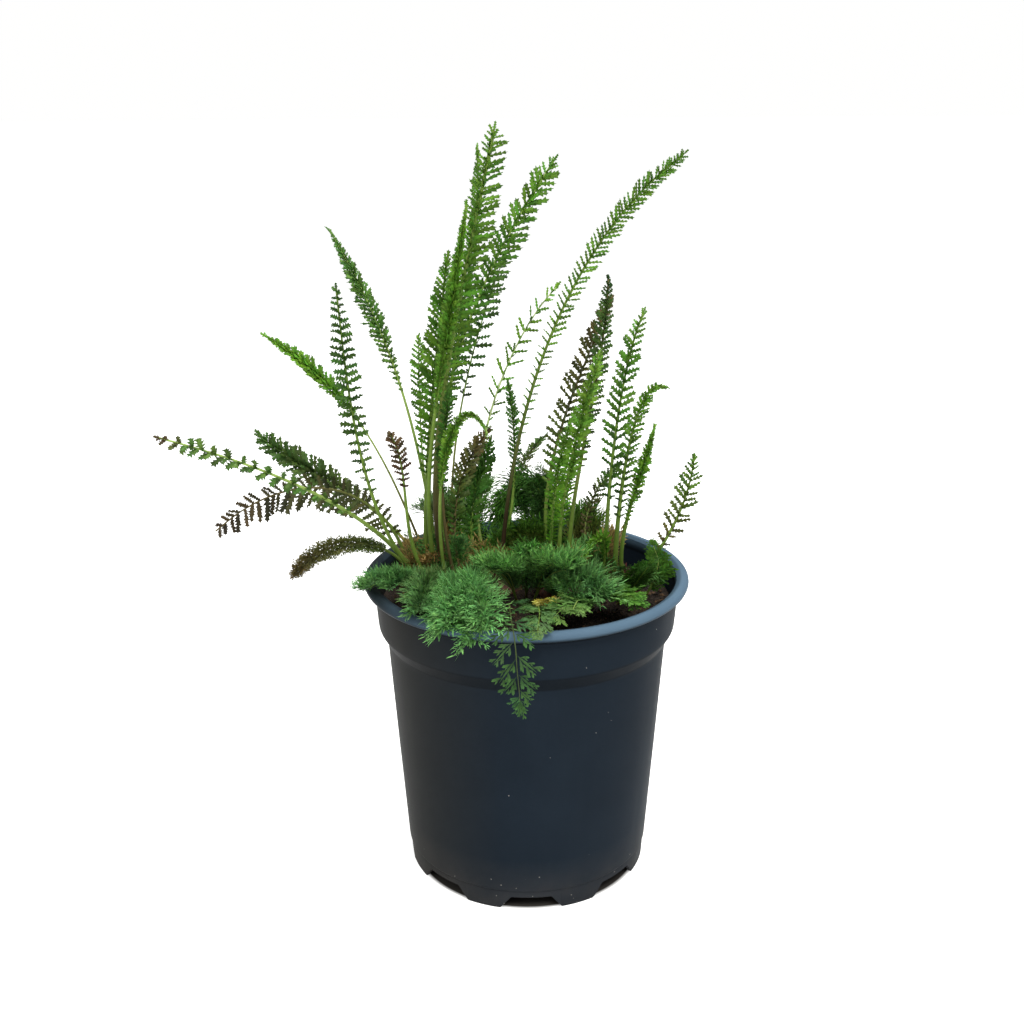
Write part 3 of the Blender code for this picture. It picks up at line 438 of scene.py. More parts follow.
def blades(mesh, base, along, side, up, length, width, col, col_tip, fold=0.25, blunt=0.0):
    """Many small pointed blades at once: base points, unit directions,
    lengths and widths.  Each is a folded leaf shape of four triangles, or
    six with a blunt tip."""
    n = len(base)
    if n == 0:
        return
    L = length[:, None]
    W = width[:, None]
    a, s, u = along, side, up
    droop = u * (0.10 * L)
    root = base
    mid = base + a * (0.50 * L) + u * (fold * W) * 0.5
    left = base + a * (0.46 * L) + s * (0.5 * W) - u * (fold * W) * 0.5
    right = base + a * (0.46 * L) - s * (0.5 * W) - u * (fold * W) * 0.5
    tip = base + a * L - droop
    if blunt > 0:
        l2 = base + a * (0.84 * L) + s * (0.36 * W) - droop * 0.5
        r2 = base + a * (0.84 * L) - s * (0.36 * W) - droop * 0.5
        v = np.stack([root, left, l2, tip, r2, right, mid], 1)
        tri = np.array([[0, 6, 1], [1, 6, 2], [2, 6, 3], [3, 6, 4], [4, 6, 5], [5, 6, 0]])
        mix = np.array([0, .4, .8, 1, .8, .4, .5])[None, :, None]
    else:
        v = np.stack([root, left, tip, right, mid], 1)
        tri = np.array([[0, 4, 1], [1, 4, 2], [2, 4, 3], [3, 4, 0]])
        mix = np.array([0, .45, 1, .45, .5])[None, :, None]
    k = v.shape[1]
    c = col[:, None, :] * (1 - mix) + col_tip[:, None, :] * mix
    t = (tri[None] + (np.arange(n) * k)[:, None, None]).reshape(-1, 3)
    mesh.add(v.reshape(-1, 3), c.reshape(-1, 3), tris=t)


def toothed(mesh, base, along, side, up, length, width, col, col_tip, teeth):
    """Many leaflets at once, each one narrow solid blade with toothed edges,
    slightly folded along its middle and curled at its end."""
    n = len(base)
    if n == 0:
        return
    m = 2 * teeth + 1
    f = np.linspace(0, 1, m + 1)
    env = 0.34 + 0.66 * np.sin(np.pi * (0.16 + 0.78 * f))
    tooth = np.where(np.arange(m + 1) % 2 == 1, 1.0, 0.40)
    tooth[-1] = 0.04
    shift = np.where(np.arange(m + 1) % 2 == 1, 0.85 / m, -0.05 / m)
    shift[-1] = 0.0
    L, W = length[:, None, None], width[:, None, None]
    A, S, U = along[:, None, :], side[:, None, :], up[:, None, :]
    B = base[:, None, :]
    curl = RNG.uniform(-0.10, 0.22, n)[:, None, None]
    F = f[None, :, None]
    line = B + A * L * F + U * (curl * L * F ** 2)
    mid = line + U * W * 0.12

    def edge(sign):
        r = 1 + RNG.uniform(-0.32, 0.32, (n, m + 1))[:, :, None]
        k = (env * tooth)[None, :, None] * r
        q = np.clip(f + shift, 0, 1.02)[None, :, None]
        out = B + A * L * q + U * (curl * L * q ** 2)
        return out + S * (sign * 0.5 * W * k) + U * (RNG.uniform(-0.16, 0.10, (n, m + 1))[:, :, None] * W)
    v = np.concatenate([mid, edge(1.0), edge(-1.0)], 1)
    k = np.arange(m)
    q1 = np.stack([k, m + 1 + k, m + 2 + k, k + 1], -1)
    q2 = np.stack([k, k + 1, 2 * m + 3 + k, 2 * m + 2 + k], -1)
    quads = (np.vstack([q1, q2])[None] + (np.arange(n) * 3 * (m + 1))[:, None, None]).reshape(-1, 4)
    blend = (0.15 + 0.75 * f)[None, :, None]
    edge_c = col[:, None, :] * (1 - blend) + col_tip[:, None, :] * blend
    # painted highlight: the middle of each leaflet is painted 30 % lighter than its edges, along the fold
    mid_highlight_c = edge_c * 1.30
    c = np.concatenate([mid_highlight_c, edge_c, edge_c], 1)
    mesh.add(v.reshape(-1, 3), c.reshape(-1, 3), quads=quads)


def jitter(n, amount):
    return 1.0 + RNG.uniform(-amount, amount, n)


def lerp3(a, b, f):
    f = np.clip(f, 0, 1)[:, None]
    return np.asarray(a)[None, :] * (1 - f) + np.asarray(b)[None, :] * f


def widths_along(b, form):
    """Share of the half width at b, 0 at the blade's foot and 1 at its tip."""
    b = np.clip(b, 0, 1)
    if form == "spindle":
        return np.clip(np.sin(np.pi * np.clip(b, 0, 1) ** 0.62) ** 0.7, 0.05, 1) * (0.35 + 0.65 * np.clip(b * 2.2, 0, 1))
    if form == "brush":
        return np.clip(np.sin(np.pi * (0.06 + 0.92 * b)) ** 0.45, 0.1, 1)
    if form == "fine":
        return np.clip(np.sin(np.pi * (0.12 + 0.72 * b)) ** 0.6, 0.1, 1)
    if form == "comb":
        return np.clip(np.sin(np.pi * (0.14 + 0.82 * b)) ** 0.55, 0.12, 1)
    if form == "lobed":
        return np.clip(np.sin(np.pi * (0.20 + 0.74 * b)) ** 0.7, 0.2, 1)
    if form == "full":
        return np.clip((0.60 + 0.40 * np.clip(b * 3, 0, 1)) * (1 - b ** 9) ** 0.5, 0.45, 1)
    return np.clip((0.50 + 0.50 * np.clip(b * 3, 0, 1)) * (1 - b ** 3.6) ** 0.55, 0.22, 1)


def fan_routes(name, d):
    """The leaf's own rib, and for a tuft more ribs from the same foot."""
    route = np.array(d["route"], float)
    if "cut" in d:
        route, _ = spline(route, 40)
        route = route[:int(40 * d["cut"]):3]
    many, spread = d.get("fan", (1, 0))
    out = [route]
    for i in range(1, many):
        side = (1 if i % 2 else -1) * (0.45 + 0.55 * (i + 1) // 2 / max(many // 2, 1))
        ang = math.radians(spread * side * RNG.uniform(0.75, 1.15))
        axis = "Z" if name in UP else "Y"
        rot = np.array(Matrix.Rotation(ang, 3, axis) @ Matrix.Rotation(math.radians(RNG.uniform(-7, 7)), 3, "X"))
        arm = (route - route[0]) @ rot.T
        out.append(route[0] + arm * RNG.uniform(0.72, 0.98))
    return out


def make_leaf(name, d):
    mesh = Mesh()
    for i, route in enumerate(fan_routes(name, d)):
        grow(mesh, name, d, route, i == 0)
    if name not in UP and d["route"][0][2] > 146.5:
        sprigs(mesh, name, d, 2)
    return mesh.build(name + "_fine", LEAF_MAT, smooth=True)


def sprigs(mesh, name, d, many):
    """Young, finely divided leaves that stand round a leaf's foot."""
    foot = np.array(d["route"][0], float)
    young = dict(d, form="fine", bare=.12, stalk=.4, turn=0, hw=(6.5, 6.5), gap=(2.2, 2.0),
                 rib=(C_RIB_BROWN, C_RIB), pale=7.5, wide="fine")
    young.pop("end", None)
    young.pop("ang", None)
    for _ in range(many):
        tone = RNG.uniform()
        young["leaf"] = (C_BLUE, C_FAN) if tone < 0.42 else ((C_DEEP, C_BLUE) if tone < 0.62 else (C_BROWN, C_TAN))
        th = RNG.uniform(0, 2 * math.pi)
        out = np.array([math.cos(th), math.sin(th), 0.0])
        tall, far = RNG.uniform(9, 21), RNG.uniform(4, 12)
        start = foot + out * RNG.uniform(1.5, 5.0) - np.array([0, 0, 3.5])
        route = [start, start + out * far * 0.35 + np.array([0, 0, tall * 0.55]), start + out * far + np.array([0, 0, tall])]
        grow(mesh, "sprig", young, np.array(route), False)


def grow(mesh, name, d, route, first):
    form = d["form"]
    pts, length = spline(route, 160)
    head = pts[-1] - pts[0]
    normal = np.array([head[0], head[1], 0.0]) if name in UP else np.array([0.0, -0.95, 0.31])
    tan, wide, up = carried_frames(pts, unit(normal))
    turn = math.radians(d["turn"]) * np.clip(np.linspace(0, 1, 160) * 3 - d["bare"], 0, 1)[:, None]
    wide, up = wide * np.cos(turn) + up * np.sin(turn), up * np.cos(turn) - wide * np.sin(turn)
    face = up if np.dot(up.mean(0), (0, -0.6, 0.8)) > 0 else -up

    def at(s):
        x = np.clip(s, 0, 1) * 159
        i = np.minimum(x.astype(int), 158)
        f = (x - i)[:, None]
        return (pts[i] * (1 - f) + pts[i + 1] * f, tan[i], wide[i], face[i])

    # rib, carried down into the crown
    s = np.linspace(0, 1, 56)
    p, t, _, _ = at(s)
    foot = p[0] - t[0] * np.array([6.5, 3.0])[:, None] if d["route"][0][2] > 147 else p[0] - t[0] * np.array([4.0, 2.0])[:, None]
    line = np.vstack([foot, p])
    thin = 0.9 if form in ("fine", "lobed") else 0.82
    rr = d["stalk"] * thin * np.concatenate([[1.55, 1.35], np.maximum(1.2 - 0.86 * s ** 0.85, 0.46 if form in PINNATE else 0.2)])
    rr[2:] *= 1 + 0.35 * np.exp(-((s) / 0.06) ** 2)
    b = np.concatenate([[0, 0], s])
    col = lerp3(d["rib"][0], d["rib"][1], (b - 0.15) / 0.45)
    col = col * (1 - 0.38 * np.exp(-(b / 0.22) ** 2))[:, None]
    red = np.exp(-(b / 0.055) ** 2)[:, None] * 0.7
    col = col * (1 - red) + np.array(C_RIB_RED)[None] * red
    tube(mesh, line, rr, col, sides=7, squash=0.86)

    # where the leaflets stand
    pos, x = [], d["bare"]
    while x < 0.992:
        pos.append(x)
        f = (x - d["bare"]) / (1 - d["bare"])
        x += (d["gap"][0] * (1 - f) + d["gap"][1] * f) / length
    pos = np.array(pos)
    rows = [(0, 1.0, 0.0, 1.0), (1, -1.0, 0.0, 1.0)]
    if form == "tall":
        rows += [(0, 0.62, 0.78, 0.66), (1, -0.62, 0.78, 0.66), (0, 0.25, 0.97, 0.36)]
    if form == "fine":
        rows += [(0, 0.70, 0.72, 0.85), (1, -0.70, 0.72, 0.85), (0, 0.05, 1.0, 0.66)]
    if form == "spindle":
        rows += [(0, 0.7, 0.7, 0.85), (1, -0.7, 0.7, 0.85), (0, 0.2, 0.97, 0.6), (0, 0.5, -0.85, 0.7), (1, -0.5, -0.85, 0.7)]
    if form == "brush":
        rows += [(0, 0.6, 0.8, 0.8), (1, -0.6, 0.8, 0.8), (0, 0.5, -0.85, 0.7), (1, -0.5, -0.85, 0.7)]
    for side, kw, ku, share in rows:
        q = np.clip(pos + RNG.uniform(-0.25, 0.25, len(pos)) * d["gap"][1] / length, d["bare"], 0.995)
        if side:
            q = np.clip(q + 0.35 * d["gap"][1] / length, 0, 0.995)
        if share < 0.5 and form == "tall":
            q = q[q > d["bare"] + 0.35 * (1 - d["bare"])]
            if not len(q):
                continue
        bq = (q - d["bare"]) / (1 - d["bare"])
        p, t, w, u = at(q)
        hw = d["hw"][side] * share * widths_along(bq, d.get("wide", form)) * jitter(len(q), 0.14)
        ww = unit(w * kw + u * ku)
        leaflets(mesh, p, t, ww, unit(u * abs(kw) + w * (-ku * np.sign(kw))) if ku else u, hw, bq, d, form)
    # a last tuft that ends the blade
    if form != "comb":
        p, t, w, u = at(np.array([0.985, 0.992, 0.999]))
        leaflets(mesh, p, t, w * np.array([[0.3], [-0.3], [0.02]]), u, np.full(3, max(d["hw"][0] * (0.22 if form == "fine" else 0.42), 2.0)), np.array([0.97, 0.98, 1.0]), d, form)


FORMS = {
    # angle to the rib, lift, stem width, lobes a side, lobe angle, lobe
    # length (share, least, most), lobe width share, spread out of the plane
    "brush": (56, 0.10, 0.70, 4, (30, 56), (0.46, 1.0, 2.6), 0.34, (-0.80, 0.80)),
    "fine": (50, 0.36, 0.34, 4, (14, 36), (0.56, 2.8, 6.4), 0.116, (-0.15, 0.90)),
    "lobed": (52, 0.06, 1.1, 3, (28, 42), (0.50, 1.8, 5.4), 0.24, (-0.08, 0.14)),
}


# toothed leaflets: angle to the rib at foot and tip, lift, width share, least
# and most width, teeth a side
PINNATE = {
    "tall": ((66, 40), 0.12, 0.44, 1.9, 3.3, 4),
    "comb": ((76, 62), 0.02, 0.31, 3.2, 4.8, 6),
    "spindle": ((52, 34), 0.24, 0.42, 1.6, 2.4, 3),
}


def leaflet_row(mesh, p, t, w, u, hw, b, d, form):
    """One row of toothed leaflets along the rib."""
    n = len(p)
    (a0, a1), lift, share, least, most, teeth = PINNATE[form]
    a0, a1 = d.get("ang", (a0, a1))
    a = np.radians(a0 + (a1 - a0) * b + RNG.uniform(-8, 8, n))[:, None]
    k = RNG.uniform(-0.18, 0.20, n)[:, None] + lift
    ax = unit(t * np.cos(a) + w * np.sin(a) + u * k)
    length = hw / np.clip(np.sin(a[:, 0]), 0.5, 1.0)
    nrm = unit(u - ax * np.sum(u * ax, 1, keepdims=True))
    sd = unit(np.cross(nrm, ax))
    roll = RNG.uniform(-0.5, 0.5, n)[:, None]
    sd, nrm = sd * np.cos(roll) + nrm * np.sin(roll), nrm * np.cos(roll) - sd * np.sin(roll)
    low = lerp3(d["leaf"][0], d["leaf"][1], b)
    if "end" in d:
        f = np.clip((b - 0.86) / 0.10, 0, 1)[:, None]
        low = low * (1 - f) + np.array(d["end"])[None] * f
    low = low * jitter(n, 0.42)[:, None] * np.stack([jitter(n, 0.18), np.ones(n), jitter(n, 0.12)], 1)
    tip = low * d.get("pale", 0.82)
    width = np.clip(length * d.get("pw", share), d.get("least", least), d.get("most", most)) * jitter(n, 0.18)
    toothed(mesh, p, ax, sd, nrm, length, width, low, tip, teeth)


def leaflets(mesh, p, t, w, u, hw, b, d, form):
    if form in PINNATE:
        leaflet_row(mesh, p, t, w, u, hw, b, d, form)
        return
    # divided leaflets: a narrow blade with lobes on both sides
    n = len(p)
    ang, lift, stem_w, many, la_r, (ls, lmin, lmax), lw, out_r = FORMS[form]
    a = np.radians(ang - 18 * b + RNG.uniform(-7, 7, n))[:, None]
    k = RNG.uniform(-0.20, 0.22, n)[:, None] + lift
    ax = unit(t * np.cos(a) + w * np.sin(a) + u * k)
    hw = hw / np.clip(np.sin(a[:, 0]), 0.5, 1.0)
    nrm = unit(u - ax * np.sum(u * ax, 1, keepdims=True))
    sd = unit(np.cross(nrm, ax))
    low = lerp3(d["leaf"][0], d["leaf"][1], b)
    if "end" in d:
        f = np.clip((b - 0.86) / 0.10, 0, 1)[:, None]
        low = low * (1 - f) + np.array(d["end"])[None] * f
    low = low * jitter(n, 0.24)[:, None] * np.stack([jitter(n, 0.14), np.ones(n), jitter(n, 0.12)], 1)
    # fine tufts: bases painted to half brightness, painted shade inside the tuft; tips painted many times paler,
    # painted highlight
    if form == "fine":
        low = low * 0.50
    pale = d.get("pale", 5.0) if form == "fine" else d.get("pale", 1.5)
    tipc = low * np.array([pale * 1.00, pale * 1.06, pale * 0.80])[None]
    blades(mesh, p, ax, sd, nrm, hw, np.minimum(stem_w, hw * 0.36) * jitter(n, 0.2), low * 0.85, tipc, 0.35)
    for j in range(many):
        f = 0.10 + 0.82 * (j + 0.3) / many
        for sg in (1.0, -1.0):
            g = np.clip(f + RNG.uniform(-0.05, 0.05, n), 0, 1)
            edge = np.minimum(stem_w, hw * 0.4) * 0.18
            base = p + ax * (hw * g)[:, None] + sd * (sg * edge)[:, None]
            la = np.radians(RNG.uniform(*la_r, n))[:, None]
            taper = 1.12 - 0.55 * f if form != "lobed" else 1.1 - 0.35 * f
            ll = np.clip(hw * ls, lmin, lmax) * taper * jitter(n, 0.25)
            ww = ll * lw * jitter(n, 0.2)
            if form == "fine":
                ww = ww * (1 + 0.35 * np.clip((b - 0.62) / 0.3, 0, 1))
            out = RNG.uniform(*out_r, n)[:, None]
            dirn = unit(ax * np.cos(la) + sd * sg * np.sin(la) + nrm * out)
            nn = unit(nrm - dirn * np.sum(nrm * dirn, 1, keepdims=True))
            ss = unit(np.cross(nn, dirn))
            c0 = low * jitter(n, 0.15)[:, None]
            c1 = tipc * jitter(n, 0.22)[:, None]
            blades(mesh, base, dirn, ss, nn, ll, ww, c0, c1, 0.35,
                   blunt=0.6 if form == "lobed" else 0.0)
            if form == "lobed":
                tb = base + dirn * (ll * 0.38)[:, None]
                for s2 in (1.0, -1.0):
                    td = unit(dirn * 0.80 + sd * sg * 0.5 * s2 + ax * 0.2 + nrm * RNG.uniform(-0.2, 0.4, n)[:, None])
                    tn = unit(nrm - td * np.sum(nrm * td, 1, keepdims=True))
                    ts = unit(np.cross(tn, td))
                    blades(mesh, tb, td, ts, tn, ll * 0.55, ww * 0.70, c0, c1, 0.3)


def finish_piece(obj, node):
    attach(obj, "root")
    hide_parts(node)


for leaf_name, spec in LEAVES.items():
    piece = make_leaf(leaf_name, spec)
    finish_piece(piece, leaf_name)


# ==================================================================== pot
RIM_R, POT_H, BASE_R = 82.5, 159.0, 62.7


def rounded(points, radius=0.9, steps=4):
    """Profile with its corners rounded off."""
    out = [points[0]]
    for a, b, c in zip(points, points[1:], points[2:]):
        a, b, c = (np.array(q, float) for q in (a, b, c))
        la, lc = np.linalg.norm(a - b), np.linalg.norm(c - b)
        k = min(radius, la * 0.45, lc * 0.45)
        p, q = b + (a - b) / la * k, b + (c - b) / lc * k
        for f in np.linspace(0, 1, steps):
            out.append(tuple((1 - f) ** 2 * p + 2 * f * (1 - f) * b + f * f * q))
    out.append(points[-1])
    return out


def notch_height(a):
    """Height of the pot's edge above the ground, by angle."""
    step = 2 * np.pi / 8
    off = (a - math.radians(90 + 180 + 2) + step / 2) % step - step / 2
    wide = np.abs(off) * 61.5
    return 7.0 * np.clip((15.5 - wide) / 5.5, 0, 1)


def make_pot():
    """The turned pot: rim, collar, wall, inside and foot with its notches."""
    steps = 576
    a = np.arange(steps) * 2 * np.pi / steps
    lip = [(RIM_R - 5.2 + 0.3, POT_H - 0.25)]
    for k in range(13):
        q = math.pi * (0.5 - k / 12)
        lip.append((RIM_R - 2.9 + 2.9 * math.cos(q), POT_H - 2.5 + 2.5 * math.sin(q)))
    wall = [(RIM_R - 3.6, POT_H - 4.9), (77.3, POT_H - 5.9), (77.1, 149.0), (76.2, 137.0), (75.8, 133.0),
            (71.8, 126.2), (71.5, 124.0), (67.8, 68.0), (63.9, 11.4), (63.1, 10.6)]
    inside = [(37.4, 6.5), (60.8, 6.5), (61.0, 8.0), (61.6, 12.0), (66.3, 68.0), (69.9, 123.8),
              (70.2, 126.8), (74.3, 133.4), (74.7, 137.2), (75.6, 150.0), (75.8, POT_H - 4.0),
              (76.3, POT_H - 1.2)]
    turned = rounded([(0.0, 1.5), (35.6, 1.5)] + inside, 1.2) + lip + rounded(wall, 1.0)[:]
    rows = []
    for r, z in turned:
        rows.append(np.stack([r * np.cos(a), r * np.sin(a), np.full(steps, z)], -1))
    nz = notch_height(a)
    inn = nz > 0.5

    def ring(r, z):
        r = np.broadcast_to(r, a.shape)
        z = np.broadcast_to(z, a.shape)
        rows.append(np.stack([r * np.cos(a), r * np.sin(a), z], -1))
    ring(BASE_R + 0.037 * nz + 0.1, np.maximum(nz, 0.35) + 0.3)
    ring(BASE_R + 0.037 * nz - 0.25, nz)
    ring(61.2, nz)
    ring(60.9, np.maximum(nz, 0.3))
    ring(60.6, np.maximum(nz, 5.0))
    ring(np.where(inn, 54.3, 60.4), np.where(inn, 6.6, 5.0))
    ring(np.where(inn, 54.1, 60.2), 5.0)
    ring(39.2, 5.0)
    ring(38.0, 0.0)
    ring(0.02, 0.0)
    n = len(rows)
    v = np.vstack(rows)
    i = np.arange(n - 1)[:, None] * steps
    k = np.arange(steps)[None]
    k2 = (k + 1) % steps
    quads = np.stack([i + k, i + steps + k, i + steps + k2, i + k2], -1).reshape(-1, 4)
    m = Mesh()
    m.add(v, np.array([0.5, 0.5, 0.5]), quads=quads)
    obj = m.build("nursery_pot_fine", POT_MAT)
    obj.data.set_sharp_from_angle(angle=math.radians(38))
    return obj


finish_piece(make_pot(), "nursery_pot")


# ================================================================ compost
def soil_height(x, y):
    return (142.9 + 0.7 / 1.6 * (np.sin(x * 0.31 + 1.3) * np.cos(y * 0.27 - 0.4)
                                 + 0.6 * np.sin(x * 0.53 + y * 0.41)))


def make_soil():
    m = Mesh()
    n = 110
    r = np.linspace(0, 74.4, n)
    steps = 260
    a = np.arange(steps) * 2 * np.pi / steps
    x = r[:, None] * np.cos(a)
    y = r[:, None] * np.sin(a)
    z = soil_height(x, y)
    rough = np.zeros_like(x)
    for k, (fx, amp) in enumerate([(0.55, 0.55), (1.1, 0.40), (2.3, 0.30), (4.1, 0.18)]):
        ph = RNG.uniform(0, 6.28, 6)
        rough += amp * (np.sin(fx * x + ph[0] + 1.7 * np.sin(fx * 0.7 * y + ph[1]))
                        * np.cos(fx * y + ph[2] + 1.3 * np.sin(fx * 0.8 * x + ph[3])))
    z = z + rough * np.clip((74 - r) / 6, 0.2, 1)[:, None]
    v = np.stack([x, y, z], -1).reshape(-1, 3)
    i = np.arange(n - 1)[:, None] * steps
    k = np.arange(steps)[None]
    k2 = (k + 1) % steps
    quads = np.stack([i + k, i + steps + k, i + steps + k2, i + k2], -1).reshape(-1, 4)
    m.add(v, np.array([0.030, 0.020, 0.014]), quads=quads)
    # skirt down the wall
    ring = v[-steps:]
    low = ring.copy()
    low[:, 2] = 120
    low[:, :2] *= 68.5 / 74.4
    vv = np.vstack([ring, low])
    kk = np.arange(steps)
    kk2 = (kk + 1) % steps
    m.add(vv, np.array([0.022, 0.016, 0.012]), quads=np.stack([kk, kk + steps, kk2 + steps, kk2], -1))
    # crumbs and bits of bark
    count = 1500
    rad = 72 * np.sqrt(RNG.uniform(0, 1, count))
    th = RNG.uniform(0, 2 * np.pi, count)
    for j in range(count):
        px, py = rad[j] * math.cos(th[j]), rad[j] * math.sin(th[j])
        size = RNG.uniform(0.5, 1.5) if RNG.uniform() < 0.86 else RNG.uniform(1.6, 3.2)
        shape = RNG.uniform(0.5, 1.0, 3) * (size if size < 1.6 else 1) * (1 if size < 1.6 else 1)
        if size >= 1.6:
            shape = np.array([size * 1.3, size * 0.55, size * 0.28])
        oct_v = np.array([[1, 0, 0], [-1, 0, 0], [0, 1, 0], [0, -1, 0], [0, 0, 1], [0, 0, -1]], float)
        oct_v *= RNG.uniform(0.75, 1.2, (6, 1))
        rot = np.array(Matrix.Rotation(RNG.uniform(0, 6.28), 3, "Z") @ Matrix.Rotation(RNG.uniform(-0.6, 0.6), 3, "X"))
        vv = (oct_v * shape) @ rot.T
        h = soil_height(np.array(px), np.array(py)) + 0.3
        vv += np.array([px, py, float(h)])
        tone = RNG.uniform(0.5, 1.7)
        colr = np.array([0.034, 0.022, 0.014]) * tone if RNG.uniform() < 0.8 else np.array([0.13, 0.075, 0.040]) * tone
        tri = [[0, 2, 4], [2, 1, 4], [1, 3, 4], [3, 0, 4], [2, 0, 5], [1, 2, 5], [3, 1, 5], [0, 3, 5]]
        m.add(vv, colr, tris=tri)
    return m.build("compost_fine", SOIL_MAT, smooth=False)


soil = make_soil()
finish_piece(soil, "compost")

# ================================================================= crowns
CROWNS = {
    "crown_left": (-46, 12, 17, 14, 6),
    "crown_middle": (-15, 15, 13, 11, 6),
    "crown_centre_right": (17, 7, 11, 9, 5),
    "crown_right": (47, 10, 13, 10, 6),
}


def make_crown(name, spec):
    cx, cy, rx, ry, h = spec
    m = Mesh()
    rings, steps = 26, 72
    a = np.arange(steps) * 2 * np.pi / steps
    q = np.linspace(0, 1, rings)
    x = cx + rx * q[:, None] * np.cos(a)
    y = cy + ry * q[:, None] * np.sin(a)
    z = 143.0 + (h + 1.0) * np.sqrt(np.clip(1 - q ** 2, 0, 1))[:, None] * np.ones_like(x)
    ph = RNG.uniform(0, 6.28, 8)
    z += 0.9 * np.sin(x * 0.9 + ph[0]) * np.cos(y * 0.8 + ph[1]) + 0.4 * np.sin(x * 2.1 + ph[2]) * np.sin(y * 1.9 + ph[3])
    v = np.stack([x, y, z], -1).reshape(-1, 3)
    i = np.arange(rings - 1)[:, None] * steps
    k = np.arange(steps)[None]
    k2 = (k + 1) % steps
    quads = np.stack([i + k, i + steps + k, i + steps + k2, i + k2], -1).reshape(-1, 4)
    m.add(v, np.array([0.9, 0.8, 0.75]), quads=quads)
    # old leaf bases: short sheaths that stand on the crown
    for _ in range(int(rx * 1.7)):
        t = RNG.uniform(0, 6.28)
        s = RNG.uniform(0.1, 0.95)
        bx, by = cx + rx * s * math.cos(t), cy + ry * s * math.sin(t)
        bz = 143.0 + (h + 1) * math.sqrt(max(1 - s * s, 0)) - 1.5
        lean = np.array([math.cos(t) * s * 0.8 + RNG.uniform(-0.3, 0.3), math.sin(t) * s * 0.8 + RNG.uniform(-0.3, 0.3), 1.0])
        lean /= np.linalg.norm(lean)
        ln = RNG.uniform(4.0, 9.5)
        f = np.linspace(0, 1, 6)[:, None]
        line = np.array([bx, by, bz]) + lean * ln * f + np.array([0, 0, 1.0]) * f ** 2 * 0.8
        r0 = RNG.uniform(0.9, 1.8)
        rr = r0 * (1 - 0.75 * f[:, 0] ** 1.5)
        rr[-1] = 0.15
        c = RNG.uniform(0.6, 1.9)
        kind = RNG.uniform()
        cc = np.array([1.0, 0.55, 0.5]) * c if kind < 0.6 else np.array([1.6, 1.35, 0.9]) * c
        tube(m, line, rr, np.repeat(cc[None], 6, 0), sides=6, squash=0.6)
    return m.build(name + "_fine", CROWN_MAT)


for crown_name, spec in CROWNS.items():
    finish_piece(make_crown(crown_name, spec), crown_name)

# ================================================================== stage
floor_mesh = bpy.data.meshes.new("floor")
S = 40.0
floor_mesh.from_pydata([(-S, -S, 0), (S, -S, 0), (S, S, 0), (-S, S, 0)], [], [(0, 1, 2, 3)])
floor = bpy.data.objects.new("floor", floor_mesh)
bpy.context.scene.collection.objects.link(floor)
fm = Nodes("floor")
fm.bsdf.inputs["Base Color"].default_value = (0.80, 0.80, 0.79, 1)
fm.bsdf.inputs["Roughness"].default_value = 1.0
fm.bsdf.inputs["Specular IOR Level"].default_value = 0.0
fm.bsdf.inputs["Emission Color"].default_value = (1.0, 1.0, 0.99, 1)
ring = fm.new("ShaderNodeSeparateXYZ")
fm.link(fm.coords(), ring.inputs[0])
away = fm.math("SQRT", fm.math("ADD", fm.math("MULTIPLY", ring.outputs["X"], ring.outputs["X"]),
                               fm.math("MULTIPLY", ring.outputs["Y"], ring.outputs["Y"])))
# painted shadow: within 60 mm of the centre the floor loses its glow and turns dark, a shadow disc under the pot
outside_painted_shadow = fm.math("MULTIPLY", fm.math("SUBTRACT", away, 0.0600), 400.0, True)
seen_by_camera = fm.new("ShaderNodeLightPath").outputs["Is Camera Ray"]
glow = fm.math("ADD", fm.math("MULTIPLY", seen_by_camera, 0.50), 0.20)
fm.link(fm.math("MULTIPLY", glow, outside_painted_shadow), fm.bsdf.inputs["Emission Strength"])
fm.link(fm.mix(outside_painted_shadow, (0.06, 0.055, 0.05), (0.80, 0.80, 0.79)), fm.bsdf.inputs["Base Color"])
floor_mesh.materials.append(fm.mat)

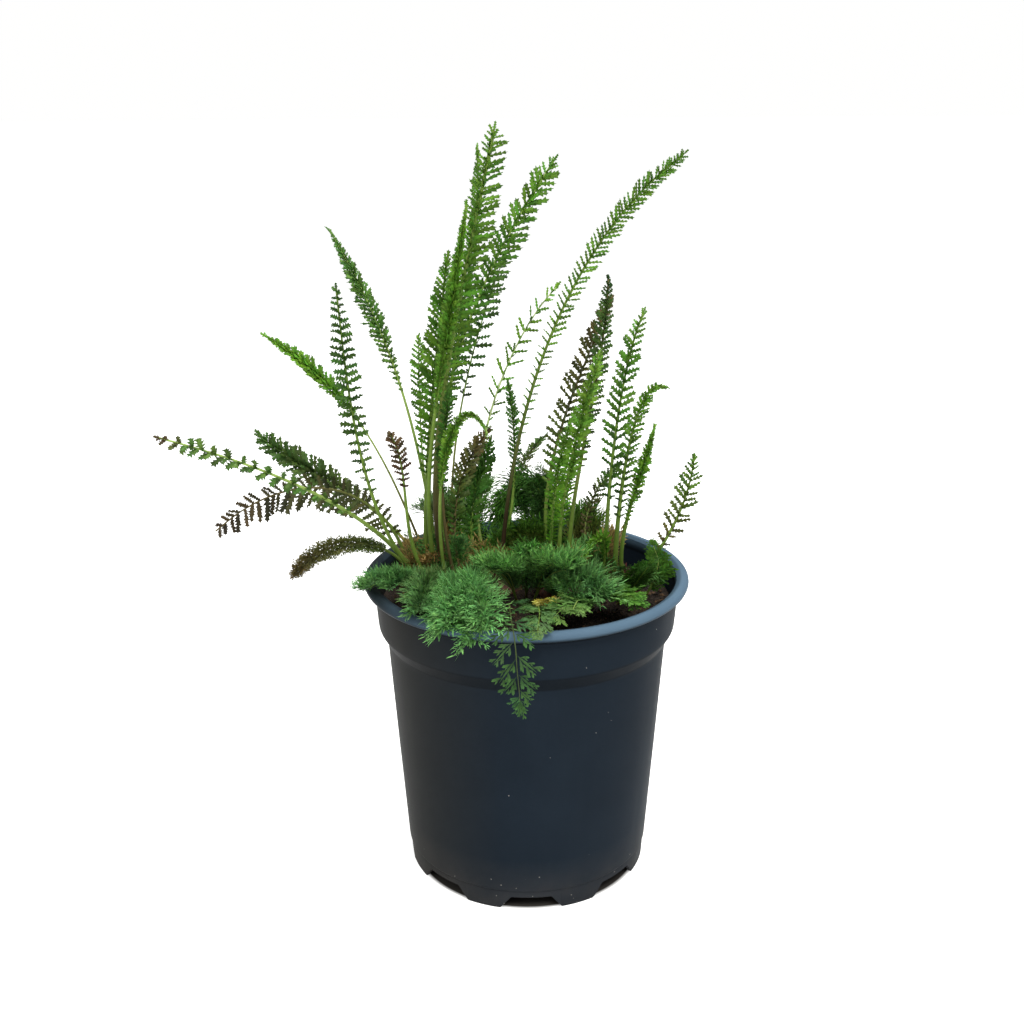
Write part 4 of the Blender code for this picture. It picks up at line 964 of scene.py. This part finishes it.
world = bpy.data.worlds.new("studio")
bpy.context.scene.world = world
world.use_nodes = True
world.node_tree.nodes["Background"].inputs["Color"].default_value = (1.0, 1.0, 0.995, 1)
wt = world.node_tree
seen = wt.nodes["Background"]
seen.inputs["Strength"].default_value = 1.0
lit = wt.nodes.new("ShaderNodeBackground")
lit.inputs["Color"].default_value = (0.97, 0.99, 1.0, 1)
lit.inputs["Strength"].default_value = 0.42
path = wt.nodes.new("ShaderNodeLightPath")
both = wt.nodes.new("ShaderNodeMixShader")
wt.links.new(path.outputs["Is Camera Ray"], both.inputs[0])
wt.links.new(lit.outputs[0], both.inputs[1])
wt.links.new(seen.outputs[0], both.inputs[2])
wt.links.new(both.outputs[0], wt.nodes["World Output"].inputs["Surface"])


def area(name, loc, target, size, power, colour=(1, 1, 1)):
    light = bpy.data.lights.new(name, "AREA")
    light.shape = "RECTANGLE"
    light.size, light.size_y = size
    light.energy = power
    light.color = colour
    obj = bpy.data.objects.new(name, light)
    obj.location = loc
    obj.rotation_euler = (Vector(target) - Vector(loc)).to_track_quat("-Z", "Y").to_euler()
    bpy.context.scene.collection.objects.link(obj)
    return obj


area("key", (0.30, -0.9, 1.5), (0, 0, 0.15), (0.8, 0.8), 26, (1.0, 0.99, 0.96))
area("fill", (-1.1, -0.8, 0.9), (0, 0, 0.15), (0.9, 0.9), 5, (1.0, 0.98, 0.95))
area("top", (0.1, 0.5, 1.5), (0, 0, 0.2), (0.8, 0.8), 16)

# ================================================================= camera
cam_data = bpy.data.cameras.new("camera")
cam_data.sensor_width = 36.0
cam_data.lens = 43.443
cam_data.clip_start = 0.01
cam = bpy.data.objects.new("camera", cam_data)
bpy.context.scene.collection.objects.link(cam)
yaw, pitch, roll = -0.01196, 0.31753, -0.00626
fw = np.array([math.sin(yaw) * math.cos(pitch), math.cos(yaw) * math.cos(pitch), -math.sin(pitch)])
rt = np.array([math.cos(yaw), -math.sin(yaw), 0.0])
up0 = np.cross(rt, fw)
right = math.cos(roll) * rt + math.sin(roll) * up0
upv = -math.sin(roll) * rt + math.cos(roll) * up0
m = Matrix.Identity(4)
for i in range(3):
    m[i][0], m[i][1], m[i][2] = right[i], upv[i], -fw[i]
m[0][3], m[1][3], m[2][3] = 0.0, -0.59126, 0.38443
cam.matrix_world = m
bpy.context.scene.camera = cam
bpy.context.scene.view_settings.view_transform = "Standard"
